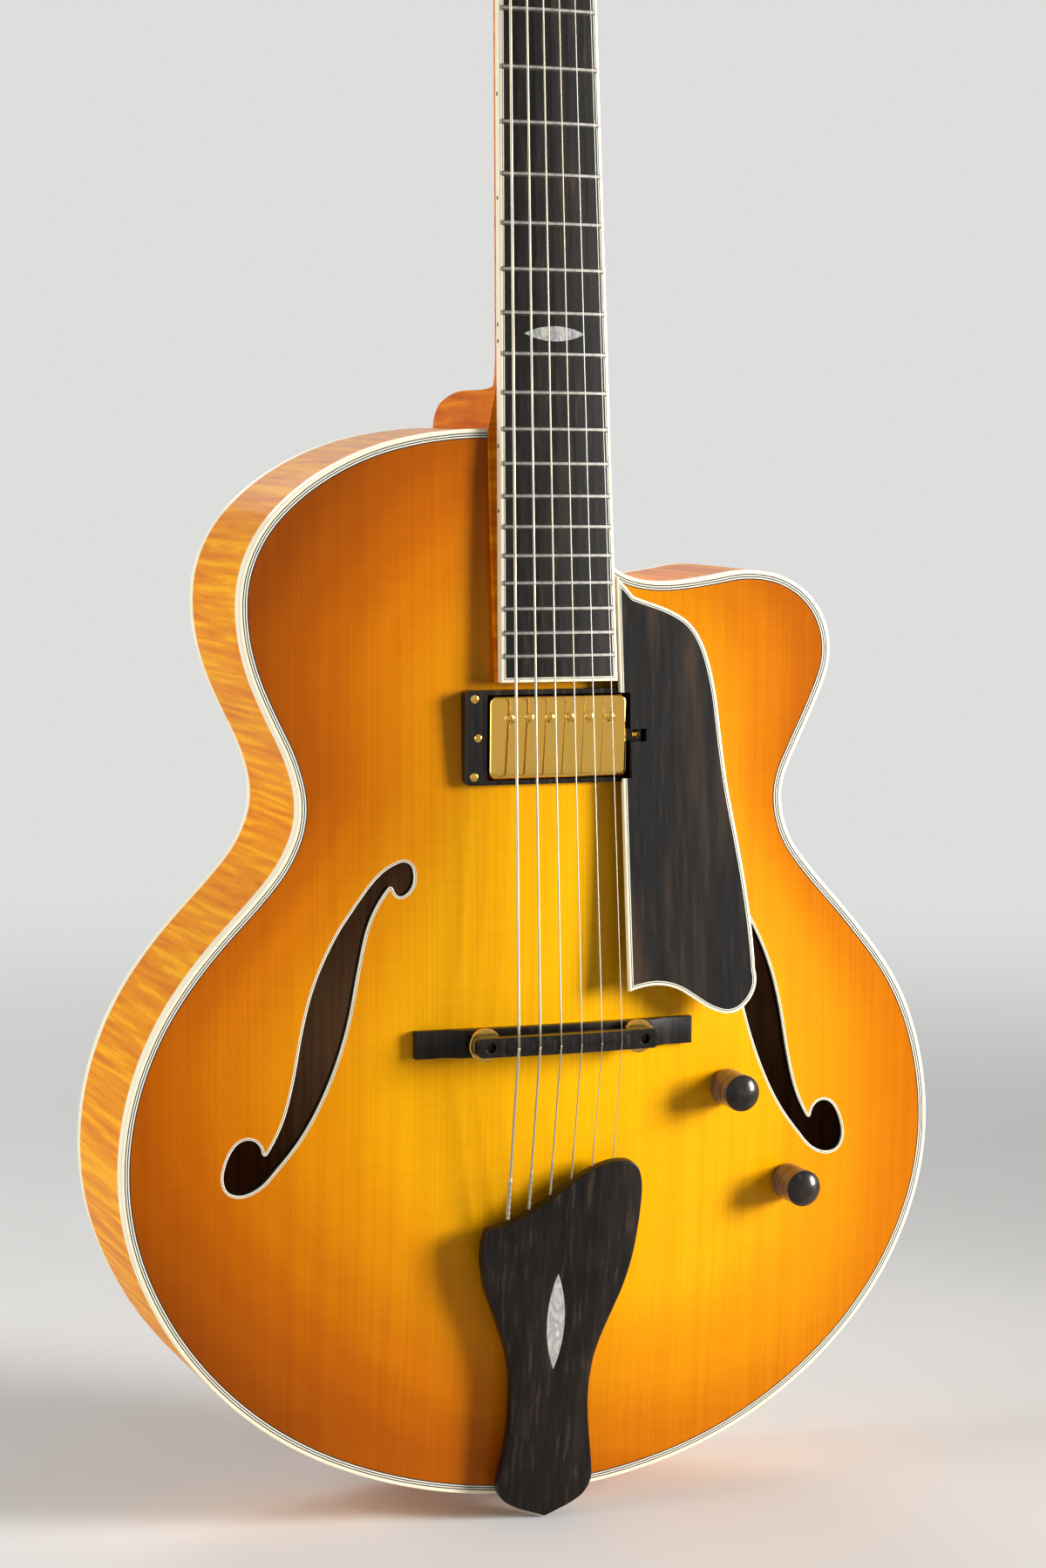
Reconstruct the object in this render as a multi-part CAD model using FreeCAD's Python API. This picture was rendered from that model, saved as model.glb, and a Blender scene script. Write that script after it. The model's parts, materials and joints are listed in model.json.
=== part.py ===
import FreeCAD, Part
import math
import os

V = FreeCAD.Vector

# Shared fits
overrun = 2.0               # how far a cut runs past the face that it opens
glide = 0.3                 # gap between pieces that move past each other
running_gap = 0.05          # radial gap of a turning shaft in its hole
arc_tolerance = 0.4         # how far the arcs of an outline may leave its curve

# Body outline, seen from the front, with heights from the bottom edge as shares of its length
body_length = 508.0
lower_bout_width = 412.0
lower_bout_share = 0.335
waist_width = 245.0
waist_share = 0.65
upper_bout_width = 302.0
upper_bout_share = 0.8425
horn_reach = 147.0          # centre line to the widest place of the horn
horn_share = 0.795
horn_tip_reach = 106.0
horn_tip_share = 0.87
cutaway_floor_reach = 58.0
cutaway_floor_share = 0.86
cutaway_corner_rise = 13.0
seat_bass = 31.5            # centre line to the bass edge of the neck seat
seat_treble = 29.5
lower_flank_shares = ((0.16, 0.965), (0.33, 0.872), (0.50, 0.69), (0.67, 0.425), (0.84, 0.13))
upper_flank_shares = ((0.25, 0.15), (0.50, 0.58), (0.76, 0.90))
horn_flank_shares = ((0.34, 0.265), (0.68, 0.75))
curve_shares = (0.2, 0.4, 0.6, 0.8)   # of a quarter turn

# Body walls
rim_depth = 82.0
rim_thickness = 2.5
binding_width = 4.5
binding_height = 6.0
lining_width = 6.0
lining_height = 14.0
lining_gap = 1.0            # most that a straight length of lining stands off the rim
block_length = 45.0
block_width = 74.0
plate_thickness = 5.0
glue_band = 8.0
arch_shoulder = 3.0         # rise of the plate all round, inside the recurve
arch_crown = 14.0           # rise of the plate at its highest place
arch_reach = 84.0           # smooth distance from the edge to the end of the recurve
arch_centre_share = 0.453
arch_half_length_share = 0.59
tone_bar_spread = 106.0
tone_bar_width = 8.0
tone_bar_depth = 12.0
tone_bar_start_share = 0.177
tone_bar_end_share = 0.827
grid_columns = 23
grid_rows = 29

# Sound holes
f_hole_offset = 114.5
f_hole_lead = 9.6           # middle of the holes above the saddle
f_hole_width = 92.0
f_hole_length = 153.0
f_binding_width = 1.2
f_hole_outer_shares = (
    (0.381, 0.409), (0.431, 0.380), (0.482, 0.396), (0.510, 0.443), (0.495, 0.485), (0.434, 0.500),
    (0.361, 0.479), (0.288, 0.436), (0.214, 0.376), (0.138, 0.314), (0.063, 0.238), (-0.005, 0.152),
    (-0.059, 0.057), (-0.098, -0.047), (-0.125, -0.143), (-0.151, -0.213), (-0.190, -0.288),
    (-0.265, -0.378))
f_hole_inner_shares = (
    (-0.265, -0.378), (-0.295, -0.343), (-0.349, -0.327), (-0.410, -0.340), (-0.460, -0.381),
    (-0.485, -0.434), (-0.478, -0.480), (-0.440, -0.507), (-0.385, -0.512), (-0.311, -0.497),
    (-0.224, -0.451), (-0.136, -0.391), (-0.049, -0.318), (0.024, -0.235), (0.083, -0.157),
    (0.135, -0.069), (0.173, 0.018), (0.204, 0.114), (0.236, 0.201), (0.276, 0.288), (0.321, 0.353),
    (0.381, 0.409))

# Neck and fingerboard
scale_length = 635.0
fret_count = 22
joint_fret = 14
inlay_fret = 12
neck_angle = 4.57
board_rise = 7.0            # front face of the board over the rim at the joint
board_tail = 12.2           # last fret to the end of the board
board_nut_width = 44.0
board_end_width = 58.3
board_thickness = 6.0
board_binding_width = 2.2
camber_radius = 305.0
fret_width = 2.6
fret_rise = 1.1
fret_crest_share = 0.45
fret_inset = 1.3            # end of a fret to the edge of the board
neck_depth_nut = 15.0
neck_depth_heel = 17.5
heel_height = 20.2
heel_cap_width = 57.5
heel_shares = ((1.0, 0.0), (0.99, 0.18), (0.955, 0.38), (0.82, 0.70), (0.585, 0.875), (0.10, 1.0))
throat_length = 18.0        # rounded run from the heel into the neck
throat_depth = 15.0         # how much deeper than the neck it starts
throat_shares = ((0.0, 1.0), (0.2, 0.52), (0.5, 0.17), (1.0, 0.0))
oval_steps = 8              # steps round the back of the neck
tenon_width = 30.0
tenon_length = 18.0
extension_end_width = 59.0
truss_rod_diameter = 6.0
truss_rod_depth = 5.0
truss_rod_margin = 12.0     # rod to the end of the board at the nut
truss_rod_foot = 14.1       # rod to the joint
nut_length = 5.0
nut_rise = 2.4
nut_slot_rise = 1.7         # bottom of the slots over the board
inlay_length = 30.0
inlay_width = 7.0
inlay_depth = 1.5

# Headstock
head_angle = 14.0
head_length = 168.0
head_neck_width = 50.0
head_width = 78.0
head_tip_width = 70.0
head_shoulder = 26.0
head_tip_rise = 7.0
head_thickness = 14.0
veneer_thickness = 2.0
cover_length = 34.0
cover_width = 22.0
cover_thickness = 1.6
cover_start = 4.2           # nut to the foot of the cover

# Tuners
tuner_first = 36.0
tuner_pitch = 42.0
tuner_spread = 54.0
post_diameter = 6.0
post_rise = 14.0
housing_width = 15.0
housing_length = 22.0
housing_depth = 11.0
worm_offset = 7.0
button_shaft_diameter = 4.4
button_gap = 7.0
button_length = 17.0
button_width = 19.0
button_corner = 5.0
button_thickness = 7.0

# Strings, from the lowest to the highest
string_diameters = (1.32, 1.07, 0.81, 0.60, 0.43, 0.33)
wound_count = 4
string_nut_spread = 36.0
string_saddle_spread = 52.0
string_gap = 0.08
compensation = 2.5
saddle_string_rise = 4.6    # crest of the saddle over the plane of the board

# Bridge
bridge_length = 140.0
bridge_depth = 13.0
bridge_end_thickness = 4.0
bridge_mid_thickness = 5.5
bridge_mid_length = 96.0
post_spacing = 77.4
bridge_post_diameter = 4.0
thumbwheel_diameter = 16.0
thumbwheel_thickness = 2.6
thumbwheel_lift = 3.2       # gap under the wheel as it is set
wheel_gap = 0.2
saddle_length = 91.0
saddle_depth = 9.0
saddle_ear_drop = 2.6
saddle_crest_length = 62.0
saddle_round = 3.0
saddle_bevel = 1.3          # drop from the crest to each face

# Tailpiece
tailpiece_angle = 6.34
tailpiece_rise = 9.5
tailpiece_thickness = 6.5
tailpiece_reach_share = 0.741   # treble shoulder, from the bottom edge of the rim to the saddle
tailpiece_width = 80.0
tailpiece_shares = (
    (0.00, -0.060), (0.30, -0.030), (0.56, 0.020), (0.56, 0.100), (0.48, 0.270), (0.50, 0.400),
    (0.70, 0.540), (0.90, 0.670), (1.00, 0.820), (1.01, 0.930), (0.90, 0.995), (0.62, 1.000),
    (0.36, 0.980), (0.10, 0.945), (-0.16, 0.900), (-0.44, 0.860), (-0.92, 0.825))
tailpiece_bass_shares = (
    (-0.92, 0.825), (-0.965, 0.740), (-0.89, 0.640), (-0.70, 0.530), (-0.54, 0.400), (-0.51, 0.270),
    (-0.58, 0.100), (-0.60, 0.020), (-0.32, -0.030), (0.00, -0.060))
tail_inlay_length = 48.0
tail_inlay_width = 9.0
tail_inlay_share = 0.536
hinge_width = 26.0
hinge_thickness = 1.5
hinge_tongue = 60.0
hinge_back = 14.0
hinge_seat_gap = 0.05       # strip to the curve of the rim

# End pin jack
jack_bore_diameter = 6.5
jack_bore_length = 30.0
jack_barrel_diameter = 12.0
jack_flange_diameter = 19.0
jack_flange_thickness = 4.0
jack_end_wall = 4.0

# Pickup
pickup_gap = 3.7            # ring to the end of the board
cover_case_length = 69.0
cover_case_width = 38.5
cover_case_depth = 17.0
cover_case_wall = 0.8
cover_corner = 3.0
pickup_rise = 15.5          # front of the cover over the rim
ring_length = 92.0
ring_width = 44.0
ring_rise = 13.0
ring_slack = 0.6
height_screw_spacing = 79.0
height_screw_shank = 2.6
height_screw_head = 4.4
height_screw_head_rise = 0.9
height_screw_tail = 4.0
ear_length = 9.0
ear_width = 12.0
baseplate_thickness = 1.2
bobbin_depth = 11.0
bobbin_width = 17.0
magnet_width = 13.0
pole_count = 6
pole_spread = 50.0
pole_offset = 9.0
pole_head_diameter = 4.8
pole_head_rise = 0.8

# Pickguard, laid out along the neck from the joint
guard_drop = 1.0            # its front below the plane of the board
guard_thickness = 2.6
guard_binding_width = 2.0
guard_edge_gap = 1.0        # gap to the side of the board
guard_overlap = 49.0        # top of the guard over the end of the board
guard_saddle_gap = 20.0
guard_reach = 66.0          # left edge to the widest place on the right
guard_shares = (
    (0.13, 0.050), (0.38, 0.080), (0.58, 0.122), (0.69, 0.200), (0.76, 0.340), (0.81, 0.500),
    (0.90, 0.680), (0.97, 0.860), (0.99, 0.965))
guard_foot_shares = (
    (0.99, 0.965), (0.95, 1.030), (0.80, 1.066), (0.62, 1.052), (0.44, 1.012), (0.27, 0.990),
    (0.13, 0.990), (0.00, 1.000))
guard_notch_slack = 0.8
guard_screw_slot = 8.0
guard_screw_slot_width = 6.0
standoff_diameter = 7.0
standoff_shares = ((0.62, 0.58), (0.72, 0.93))

# Knobs and potentiometers
volume_knob_offset = 91.0
volume_knob_drop = 29.9      # below the saddle
tone_knob_offset = 127.0
tone_knob_drop = 79.9
knob_diameter = 17.6
knob_height = 21.0
knob_dome = 2.2
knob_edge = 1.4
knob_lift = 1.2
shaft_diameter = 6.0
pot_bushing_diameter = 9.0
pot_case_diameter = 24.0
pot_case_depth = 9.0

front = -rim_depth / 2
back = rim_depth / 2
neck_seat_width = seat_bass + seat_treble
plate_seat = rim_depth / 2 - binding_height
lower_bout_height = body_length * lower_bout_share
waist_height = body_length * waist_share
upper_bout_height = body_length * upper_bout_share
horn_height = body_length * horn_share
horn_tip_height = body_length * horn_tip_share
cutaway_floor_height = body_length * cutaway_floor_share
nut_place = scale_length * (1 - 2 ** (-joint_fret / 12))
board_length = scale_length * (1 - 2 ** (-fret_count / 12)) + board_tail
board_end = nut_place - board_length
guard_top = -board_end - guard_overlap
guard_bottom = scale_length - nut_place - guard_saddle_gap


def point(x, z):
    return V(x, 0, z)


def spline(points):
    """Smooth curve through the points."""
    curve = Part.BSplineCurve()
    curve.interpolate(points)
    return curve


def is_line(points):
    return len(points) == 2


def chain_wire(chain):
    """Closed wire of lines and of tangent arcs."""
    edges = []
    for points in chain:
        if is_line(points):
            edges.append(Part.makeLine(points[0], points[-1]))
        else:
            edges += [arc.toShape() for arc in spline(points).toBiArcs(arc_tolerance)]
    return Part.Wire(edges)


def inset_wire(chain, distance):
    """The outline of a chain, moved inwards by a distance."""
    wire = chain_wire(chain)
    return wire.makeOffset2D(-distance) if distance else wire


def prism(chain, near, far, distance=0):
    """Solid with the outline of a chain, moved inwards, from one depth to another."""
    face = Part.Face(inset_wire(chain, distance))
    face.translate(V(0, near, 0))
    return face.extrude(V(0, far - near, 0))


def polygon_prism(points, near, far):
    sides = [[a, b] for a, b in zip(points, points[1:] + points[:1])]
    return prism(sides, near, far)


def box(x_low, x_high, y_low, y_high, z_low, z_high):
    return Part.makeBox(x_high - x_low, y_high - y_low, z_high - z_low, V(x_low, y_low, z_low))


def rod(diameter, start, end):
    along = end - start
    return Part.makeCylinder(diameter / 2, along.Length, start, along)


def fused(shapes):
    if len(shapes) == 1:
        return shapes[0]
    return shapes[0].multiFuse(shapes[1:]).removeSplitter()


def mirrored(shape):
    return shape.mirror(V(0, 0, 0), V(1, 0, 0))


def elliptic(centre, reach, rise, share):
    """Point on an oval, at a share of a quarter turn."""
    turn = math.pi / 2 * share
    return point(centre.x + reach * math.cos(turn), centre.z + rise * math.sin(turn))


def flank_points(shares, low, high):
    """Points between two places, as shares of the rise and of the change of width."""
    return [point(high.x + (low.x - high.x) * swell, low.z + (high.z - low.z) * rise)
            for rise, swell in shares]


def bout_points():
    """One side of the outline from the bottom centre to the waist."""
    widest = point(lower_bout_width / 2, lower_bout_height)
    waist = point(waist_width / 2, waist_height)
    centre = point(0, lower_bout_height)
    bottom = [elliptic(centre, widest.x, lower_bout_height, share - 1) for share in (0,) + curve_shares]
    return bottom + [widest] + flank_points(lower_flank_shares, widest, waist) + [waist]


def body_chain():
    """Closed outline of the body: bass side down, treble side up, cutaway side and neck seat."""
    waist = point(waist_width / 2, waist_height)
    horn = point(horn_reach, horn_height)
    tip_centre = point(horn_tip_reach, horn_height)
    tip_rise = horn_tip_height - horn_height
    floor = point(cutaway_floor_reach, cutaway_floor_height)
    tip = point(horn_tip_reach, horn_tip_height)
    corner_centre = floor + point(0, cutaway_corner_rise)
    corner_reach = cutaway_floor_reach - seat_treble
    corner = point(seat_treble, corner_centre.z)
    treble = bout_points()
    treble += [point(waist.x + (horn.x - waist.x) * swell, waist.z + (horn.z - waist.z) * rise)
               for rise, swell in horn_flank_shares]
    treble += [elliptic(tip_centre, horn.x - tip.x, tip_rise, share) for share in (0, 1 / 3, 2 / 3, 1)]
    treble += [(tip + floor) / 2, floor]
    treble += [elliptic(corner_centre, corner_reach, cutaway_corner_rise, share)
               for share in (-4 / 3, -5 / 3)]
    treble += [corner]

    upper = point(upper_bout_width / 2, upper_bout_height)
    crown_centre = point(seat_bass, upper_bout_height)
    crown_rise = body_length - upper_bout_height
    bass = bout_points()
    bass += [point(waist.x + (upper.x - waist.x) * swell, waist.z + (upper.z - waist.z) * rise)
             for rise, swell in upper_flank_shares]
    bass += [elliptic(crown_centre, upper.x - seat_bass, crown_rise, share)
             for share in (0,) + curve_shares + (1,)]
    bass = [point(-place.x, place.z) for place in reversed(bass)]
    seat_right = point(seat_treble, body_length)
    seat_left = point(-seat_bass, body_length)
    return [bass + treble[1:], [corner, seat_right], [seat_right, seat_left]]


outline = body_chain()


def body_prism(distance, near, far):
    return prism(outline, near, far, distance)


def faceted_prism(distance, near, far):
    """The body's outline moved inwards, with straight lengths between its points."""
    points = inset_wire(outline, distance).discretize(Deflection=lining_gap / 2)
    return polygon_prism(points[:-1], near, far)


def outline_samples():
    """Points close together round the outline, to measure distances from the edge."""
    samples = []
    for edge in chain_wire(outline).OrderedEdges:
        samples += edge.discretize(Distance=binding_width)[:-1]
    return [(place.x, place.z) for place in samples]


edge_samples = outline_samples()


def edge_distance(x, z):
    """Smooth distance in from the outline, drawn from the pull of the whole edge, and 0 outside it."""
    inside = False
    pull = 0
    ahead = edge_samples[1:] + edge_samples[:1]
    for (x1, z1), (x2, z2) in zip(edge_samples, ahead):
        away = max(math.hypot(x - x1, z - z1), binding_width / 2)
        pull += math.hypot(x2 - x1, z2 - z1) / away ** 3
        if (z1 > z) != (z2 > z) and x < x1 + (x2 - x1) * (z - z1) / (z2 - z1):
            inside = not inside
    return math.sqrt(2 / pull) if inside else 0


def arch(x, z):
    """Rise of a carved plate over the rim: a recurve at the edge and a dome inside it."""
    run = min(max((edge_distance(x, z) - binding_width) / arch_reach, 0), 1)
    recurve = run * run * (3 - 2 * run)
    across = 2 * x / lower_bout_width
    along = (z / body_length - arch_centre_share) / arch_half_length_share
    dome = (1 + math.cos(math.pi * min(math.hypot(across, along), 1))) / 2
    return recurve * (arch_shoulder + (arch_crown - arch_shoulder) * dome)


def arch_rows():
    """Grid of places over the whole body, each with the rise of the plate there."""
    reach = lower_bout_width / 2 + binding_width
    rows = []
    for row in range(grid_rows):
        z = -binding_width + (body_length + 2 * binding_width) * row / (grid_rows - 1)
        places = [-reach + 2 * reach * column / (grid_columns - 1) for column in range(grid_columns)]
        rows.append([(x, z, arch(x, z)) for x in places])
    return rows


arch_grid = arch_rows()


def under_arch(side, depth):
    """Everything from a carved face, moved inwards by a depth, to the middle of the body."""
    surface = Part.BSplineSurface()
    surface.interpolate([[V(x, side * (rim_depth / 2 + rise - depth), z) for x, z, rise in row]
                         for row in arch_grid])
    return surface.toShape().extrude(V(0, -side * plate_seat, 0))


front_mass = under_arch(-1, 0)


def carved_plate(side):
    """Plate with a carved outer face, a hollow of even thickness and a flat band for the glue."""
    inner = side * plate_seat
    outer = side * (rim_depth / 2 + arch_crown + overrun)
    blank = body_prism(binding_width, inner, outer).common(under_arch(side, 0))
    hollow = body_prism(binding_width + glue_band, inner - side * overrun, outer)
    return blank.cut(hollow.common(under_arch(side, plate_thickness)))


def f_hole_chain():
    """Outline of the bass sound hole: two long curves from notch to notch, each round one eye."""
    centre = point(-f_hole_offset, bridge_place() + f_hole_lead)
    return [[centre + point(across * f_hole_width, along * f_hole_length) for across, along in shares]
            for shares in (f_hole_outer_shares, f_hole_inner_shares)]


def f_hole_prism(distance):
    far = front - arch_crown - overrun
    return prism(f_hole_chain(), -plate_seat + overrun, far, distance)


def pickup_window():
    """Hole in the top for the pickup and the two ears of its base plate."""
    far = front - arch_crown - overrun
    half_length = cover_case_length / 2 + ring_slack
    half_width = cover_case_width / 2 + ring_slack
    ear_reach = height_screw_spacing / 2 + ear_length / 2 + ring_slack
    ear_half = ear_width / 2 + ring_slack
    case = box(-half_length, half_length, far, 0, pickup_height - half_width, pickup_height + half_width)
    ears = box(-ear_reach, ear_reach, far, 0, pickup_height - ear_half, pickup_height + ear_half)
    return fused([case, ears])


def top_plate():
    plate = carved_plate(-1)
    far = front - arch_crown - overrun
    holes = [f_hole_prism(0), mirrored(f_hole_prism(0)), pickup_window()]
    holes += [rod(pot_bushing_diameter, V(x, 0, z), V(x, far, z)) for x, z in knob_places]
    return plate.cut(Part.makeCompound(holes))


def f_hole_bindings():
    ring = f_hole_prism(0).cut(f_hole_prism(f_binding_width))
    strip = ring.common(front_mass).cut(under_arch(-1, plate_thickness))
    return Part.makeCompound([strip, mirrored(strip)])


def tenon():
    half = tenon_width / 2
    inner_end = body_length - rim_thickness - tenon_length
    return box(-half, half, -plate_seat, plate_seat, inner_end, body_length)


def rib(side):
    ring = body_prism(0, -plate_seat, plate_seat).cut(body_prism(rim_thickness, -plate_seat, plate_seat))
    reach = side * lower_bout_width
    half = box(min(0, reach), max(0, reach), -rim_depth, rim_depth, -overrun, body_length + overrun)
    return ring.common(half).cut(tenon()).cut(jack_hole())


def block_prism(z_low, z_high):
    return box(-block_width / 2, block_width / 2, -plate_seat, plate_seat, z_low, z_high)


def neck_block():
    low = body_length - block_length - rim_thickness
    blank = block_prism(low, body_length).common(body_prism(rim_thickness, -plate_seat, plate_seat))
    return blank.cut(tenon())


def end_block():
    blank = block_prism(0, block_length).common(body_prism(rim_thickness, -plate_seat, plate_seat))
    return blank.cut(jack_hole())


def linings():
    """Two strips of straight lengths inside the rim, which carry the edges of the plates."""
    blocks = [block_prism(body_length - block_length - rim_thickness, body_length),
              block_prism(0, block_length)]
    strips = []
    outer = rim_thickness + lining_gap
    for near, far in ((-plate_seat, -plate_seat + lining_height), (plate_seat - lining_height, plate_seat)):
        ring = faceted_prism(outer, near, far).cut(faceted_prism(outer + lining_width, near, far))
        strips += ring.cut(Part.makeCompound(blocks)).Solids
    return Part.makeCompound(strips)


def tone_bars():
    under = under_arch(-1, plate_thickness)
    low = front - arch_crown
    high = front - arch_shoulder + tone_bar_depth
    bars = []
    for side in (-1, 1):
        left = (side * tone_bar_spread - tone_bar_width) / 2
        bar = box(left, left + tone_bar_width, low, high, body_length * tone_bar_start_share,
                  body_length * tone_bar_end_share)
        bars.append(bar.common(under))
    return Part.makeCompound(bars)


def edge_binding(side):
    near = side * plate_seat
    far = side * rim_depth / 2
    return body_prism(0, near, far).cut(body_prism(binding_width, near, far))


def place_neck(shape):
    """From the frame of the board, with its front face at 0, to the frame of the body."""
    shape.rotate(V(0, 0, 0), V(1, 0, 0), -neck_angle)
    shape.translate(V(0, front - board_rise, body_length))
    return shape


def neck_point(x, y, z):
    turned = FreeCAD.Rotation(V(1, 0, 0), -neck_angle).multVec(V(x, y, z))
    return turned + V(0, front - board_rise, body_length)


pickup_height = neck_point(0, 0, board_end).z - pickup_gap - ring_width / 2


def place_head(shape):
    """From the frame of the headstock's face to the frame of the body."""
    shape.rotate(V(0, 0, 0), V(1, 0, 0), -head_angle)
    shape.translate(V(0, board_thickness, nut_place + nut_length))
    return place_neck(shape)


def head_point(x, y, z):
    turned = FreeCAD.Rotation(V(1, 0, 0), -head_angle).multVec(V(x, y, z))
    return neck_point(turned.x, turned.y + board_thickness, turned.z + nut_place + nut_length)


def board_width(place):
    """Width of the board at a place along the neck."""
    run = (nut_place - place) / board_length
    return board_nut_width + (board_end_width - board_nut_width) * run


def fret_place(number):
    return nut_place - scale_length * (1 - 2 ** (-number / 12))


def board_outline(distance):
    end = board_end + distance
    half_end = board_width(end) / 2 - distance
    half_nut = board_nut_width / 2 - distance
    return [point(half_end, end), point(half_nut, nut_place), point(-half_nut, nut_place),
            point(-half_end, end)]


def camber_drum(rise):
    """Drum whose front gives the board its camber, or the frets theirs with a rise."""
    low = V(0, camber_radius, board_end - overrun)
    high = V(0, camber_radius, nut_place + overrun)
    return rod(2 * (camber_radius + rise), low, high)


def marquise(length, width, near, far):
    """Pointed oval lying across the board, made of two arcs."""
    half = length / 2
    arc_up = Part.Arc(V(half, near, 0), V(0, near, width / 2), V(-half, near, 0)).toShape()
    arc_down = Part.Arc(V(-half, near, 0), V(0, near, -width / 2), V(half, near, 0)).toShape()
    return Part.Face(Part.Wire([arc_up, arc_down])).extrude(V(0, far - near, 0))


def board_inlay_blank():
    middle = (fret_place(inlay_fret) + fret_place(inlay_fret - 1)) / 2
    oval = marquise(inlay_length, inlay_width, 0, inlay_depth)
    oval.translate(V(0, 0, middle))
    return oval


def fingerboard():
    board = polygon_prism(board_outline(board_binding_width), 0, board_thickness).common(camber_drum(0))
    return place_neck(board.cut(board_inlay_blank()))


def fingerboard_binding():
    outer = polygon_prism(board_outline(0), 0, board_thickness)
    strip = outer.cut(polygon_prism(board_outline(board_binding_width), 0, board_thickness))
    return place_neck(strip.common(camber_drum(0)))


def fingerboard_inlay():
    return place_neck(board_inlay_blank().common(camber_drum(0)))


def fret(number):
    """Crown of one fret, swept round the camber of the board."""
    place = fret_place(number)
    half = fret_width / 2
    crest = half * fret_crest_share
    corners = [V(0, 0, place - half), V(0, -fret_rise, place - crest), V(0, -fret_rise, place + crest),
               V(0, 0, place + half)]
    profile = Part.Face(Part.makePolygon(corners + corners[:1]))
    half_turn = math.degrees(math.asin((board_width(place) / 2 - fret_inset) / camber_radius))
    axis = V(0, camber_radius, 0)
    profile.rotate(axis, V(0, 0, 1), -half_turn)
    return profile.revolve(axis, V(0, 0, 1), 2 * half_turn)


def frets():
    return place_neck(Part.makeCompound([fret(number) for number in range(1, fret_count + 1)]))


def shaft_section(place, depth):
    """Half oval of the neck behind the board."""
    half = board_width(place) / 2
    level = V(0, board_thickness, place)
    turns = [math.pi * step / oval_steps for step in range(oval_steps + 1)]
    oval = [level + V(half * math.cos(turn), depth * math.sin(turn), 0) for turn in turns]
    return Part.Wire([spline(oval).toShape(), Part.makeLine(oval[-1], oval[0])])


def neck_shaft():
    """Half-oval shaft, deepened into a round throat where it meets the heel."""
    start = heel_height - overrun
    throat = [shaft_section(start + throat_length * run, neck_depth_heel + throat_depth * swell)
              for run, swell in throat_shares]
    nut_end = shaft_section(nut_place + nut_length, neck_depth_nut)
    return fused([Part.makeLoft(throat, True, False), Part.makeLoft([throat[-1], nut_end], True, True)])


def heel():
    """Heel down to the back of the body, rounded towards its cap and narrower there."""
    lip = front - board_rise
    low = V(0, lip, body_length)
    curve = [low + V(0, (back - lip) * run, heel_height * rise) for run, rise in heel_shares]
    top = low + V(0, 0, heel_height)
    edges = [Part.makeLine(low, curve[0]), spline(curve).toShape(), Part.makeLine(curve[-1], top),
             Part.makeLine(top, low)]
    side = Part.Face(Part.Wire(edges)).extrude(V(neck_seat_width, 0, 0))
    side.translate(V(-seat_bass, 0, 0))
    neck_half = board_width(heel_height) / 2
    plan = [point(seat_treble, body_length), point(neck_half, top.z), point(-neck_half, top.z),
            point(-seat_bass, body_length)]
    cap_half = heel_cap_width / 2
    taper = [low + V(seat_treble, 0, 0), low - V(seat_bass, 0, 0), V(-cap_half, back, body_length),
             V(cap_half, back, body_length)]
    wedge = Part.Face(Part.makePolygon(taper + taper[:1])).extrude(V(0, 0, heel_height))
    return side.common(polygon_prism(plan, lip, back)).common(wedge)


def neck_extension():
    """Wedge under the board that rides on the carved top, down to the end of the board."""
    half_end = extension_end_width / 2
    plan = [point(half_end, board_end), point(seat_treble, 0), point(seat_treble, heel_height),
            point(-seat_bass, heel_height), point(-seat_bass, 0), point(-half_end, board_end)]
    wedge = place_neck(polygon_prism(plan, board_thickness, board_thickness + arch_crown))
    below = box(-lower_bout_width, lower_bout_width, -rim_depth, rim_depth, 0, body_length)
    return wedge.common(below).cut(front_mass).cut(edge_binding(-1))


def head_outline():
    """Plain paddle that widens past the nut and ends in a shallow curve."""
    half_neck = head_neck_width / 2
    half = head_width / 2
    half_tip = head_tip_width / 2
    shoulder = point(half, head_shoulder + head_tip_rise)
    flank = [point(board_nut_width / 2, 0), point(half_neck, head_shoulder / 2), shoulder]
    tip_right = point(half_tip, head_length - head_tip_rise)
    tip_left = point(-half_tip, head_length - head_tip_rise)
    crown = [tip_right, point(0, head_length), tip_left]
    other = [point(-place.x, place.z) for place in reversed(flank)]
    return [flank, [shoulder, tip_right], crown, [tip_left, other[0]], other, [other[-1], flank[0]]]


tuner_places = [(-tuner_spread / 2, tuner_first + tuner_pitch * step) for step in range(3)]
tuner_places += [(tuner_spread / 2, tuner_first + tuner_pitch * step) for step in (2, 1, 0)]


def post_rod(x, z, slack, near, far):
    return rod(post_diameter + 2 * slack, V(x, near, z), V(x, far, z))


def head_holes():
    """Holes through the headstock in which the tuner posts turn."""
    return Part.makeCompound([post_rod(x, z, running_gap, -overrun, head_thickness + overrun)
                              for x, z in tuner_places])


def head_wood():
    blank = prism(head_outline(), veneer_thickness, head_thickness)
    return place_head(blank.cut(head_holes()))


def headstock_veneer():
    return place_head(prism(head_outline(), 0, veneer_thickness).cut(head_holes()))


def truss_rod():
    depth = board_thickness + truss_rod_depth
    low = V(0, depth, truss_rod_foot)
    return place_neck(rod(truss_rod_diameter, low, V(0, depth, nut_place - truss_rod_margin)))


def neck():
    """Shaft, heel, tenon, extension and headstock, cut from one blank."""
    board_space = place_neck(box(-neck_seat_width, neck_seat_width, -neck_seat_width, board_thickness,
                                 board_end - overrun, nut_place + nut_length))
    shaft = place_neck(neck_shaft())
    over_body = box(-neck_seat_width, neck_seat_width, -body_length, body_length, 0, body_length)
    blank = fused([shaft.cut(over_body), heel(), tenon(), neck_extension(), head_wood()])
    return blank.cut(board_space).cut(truss_rod()).cut(headstock_veneer())


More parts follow.
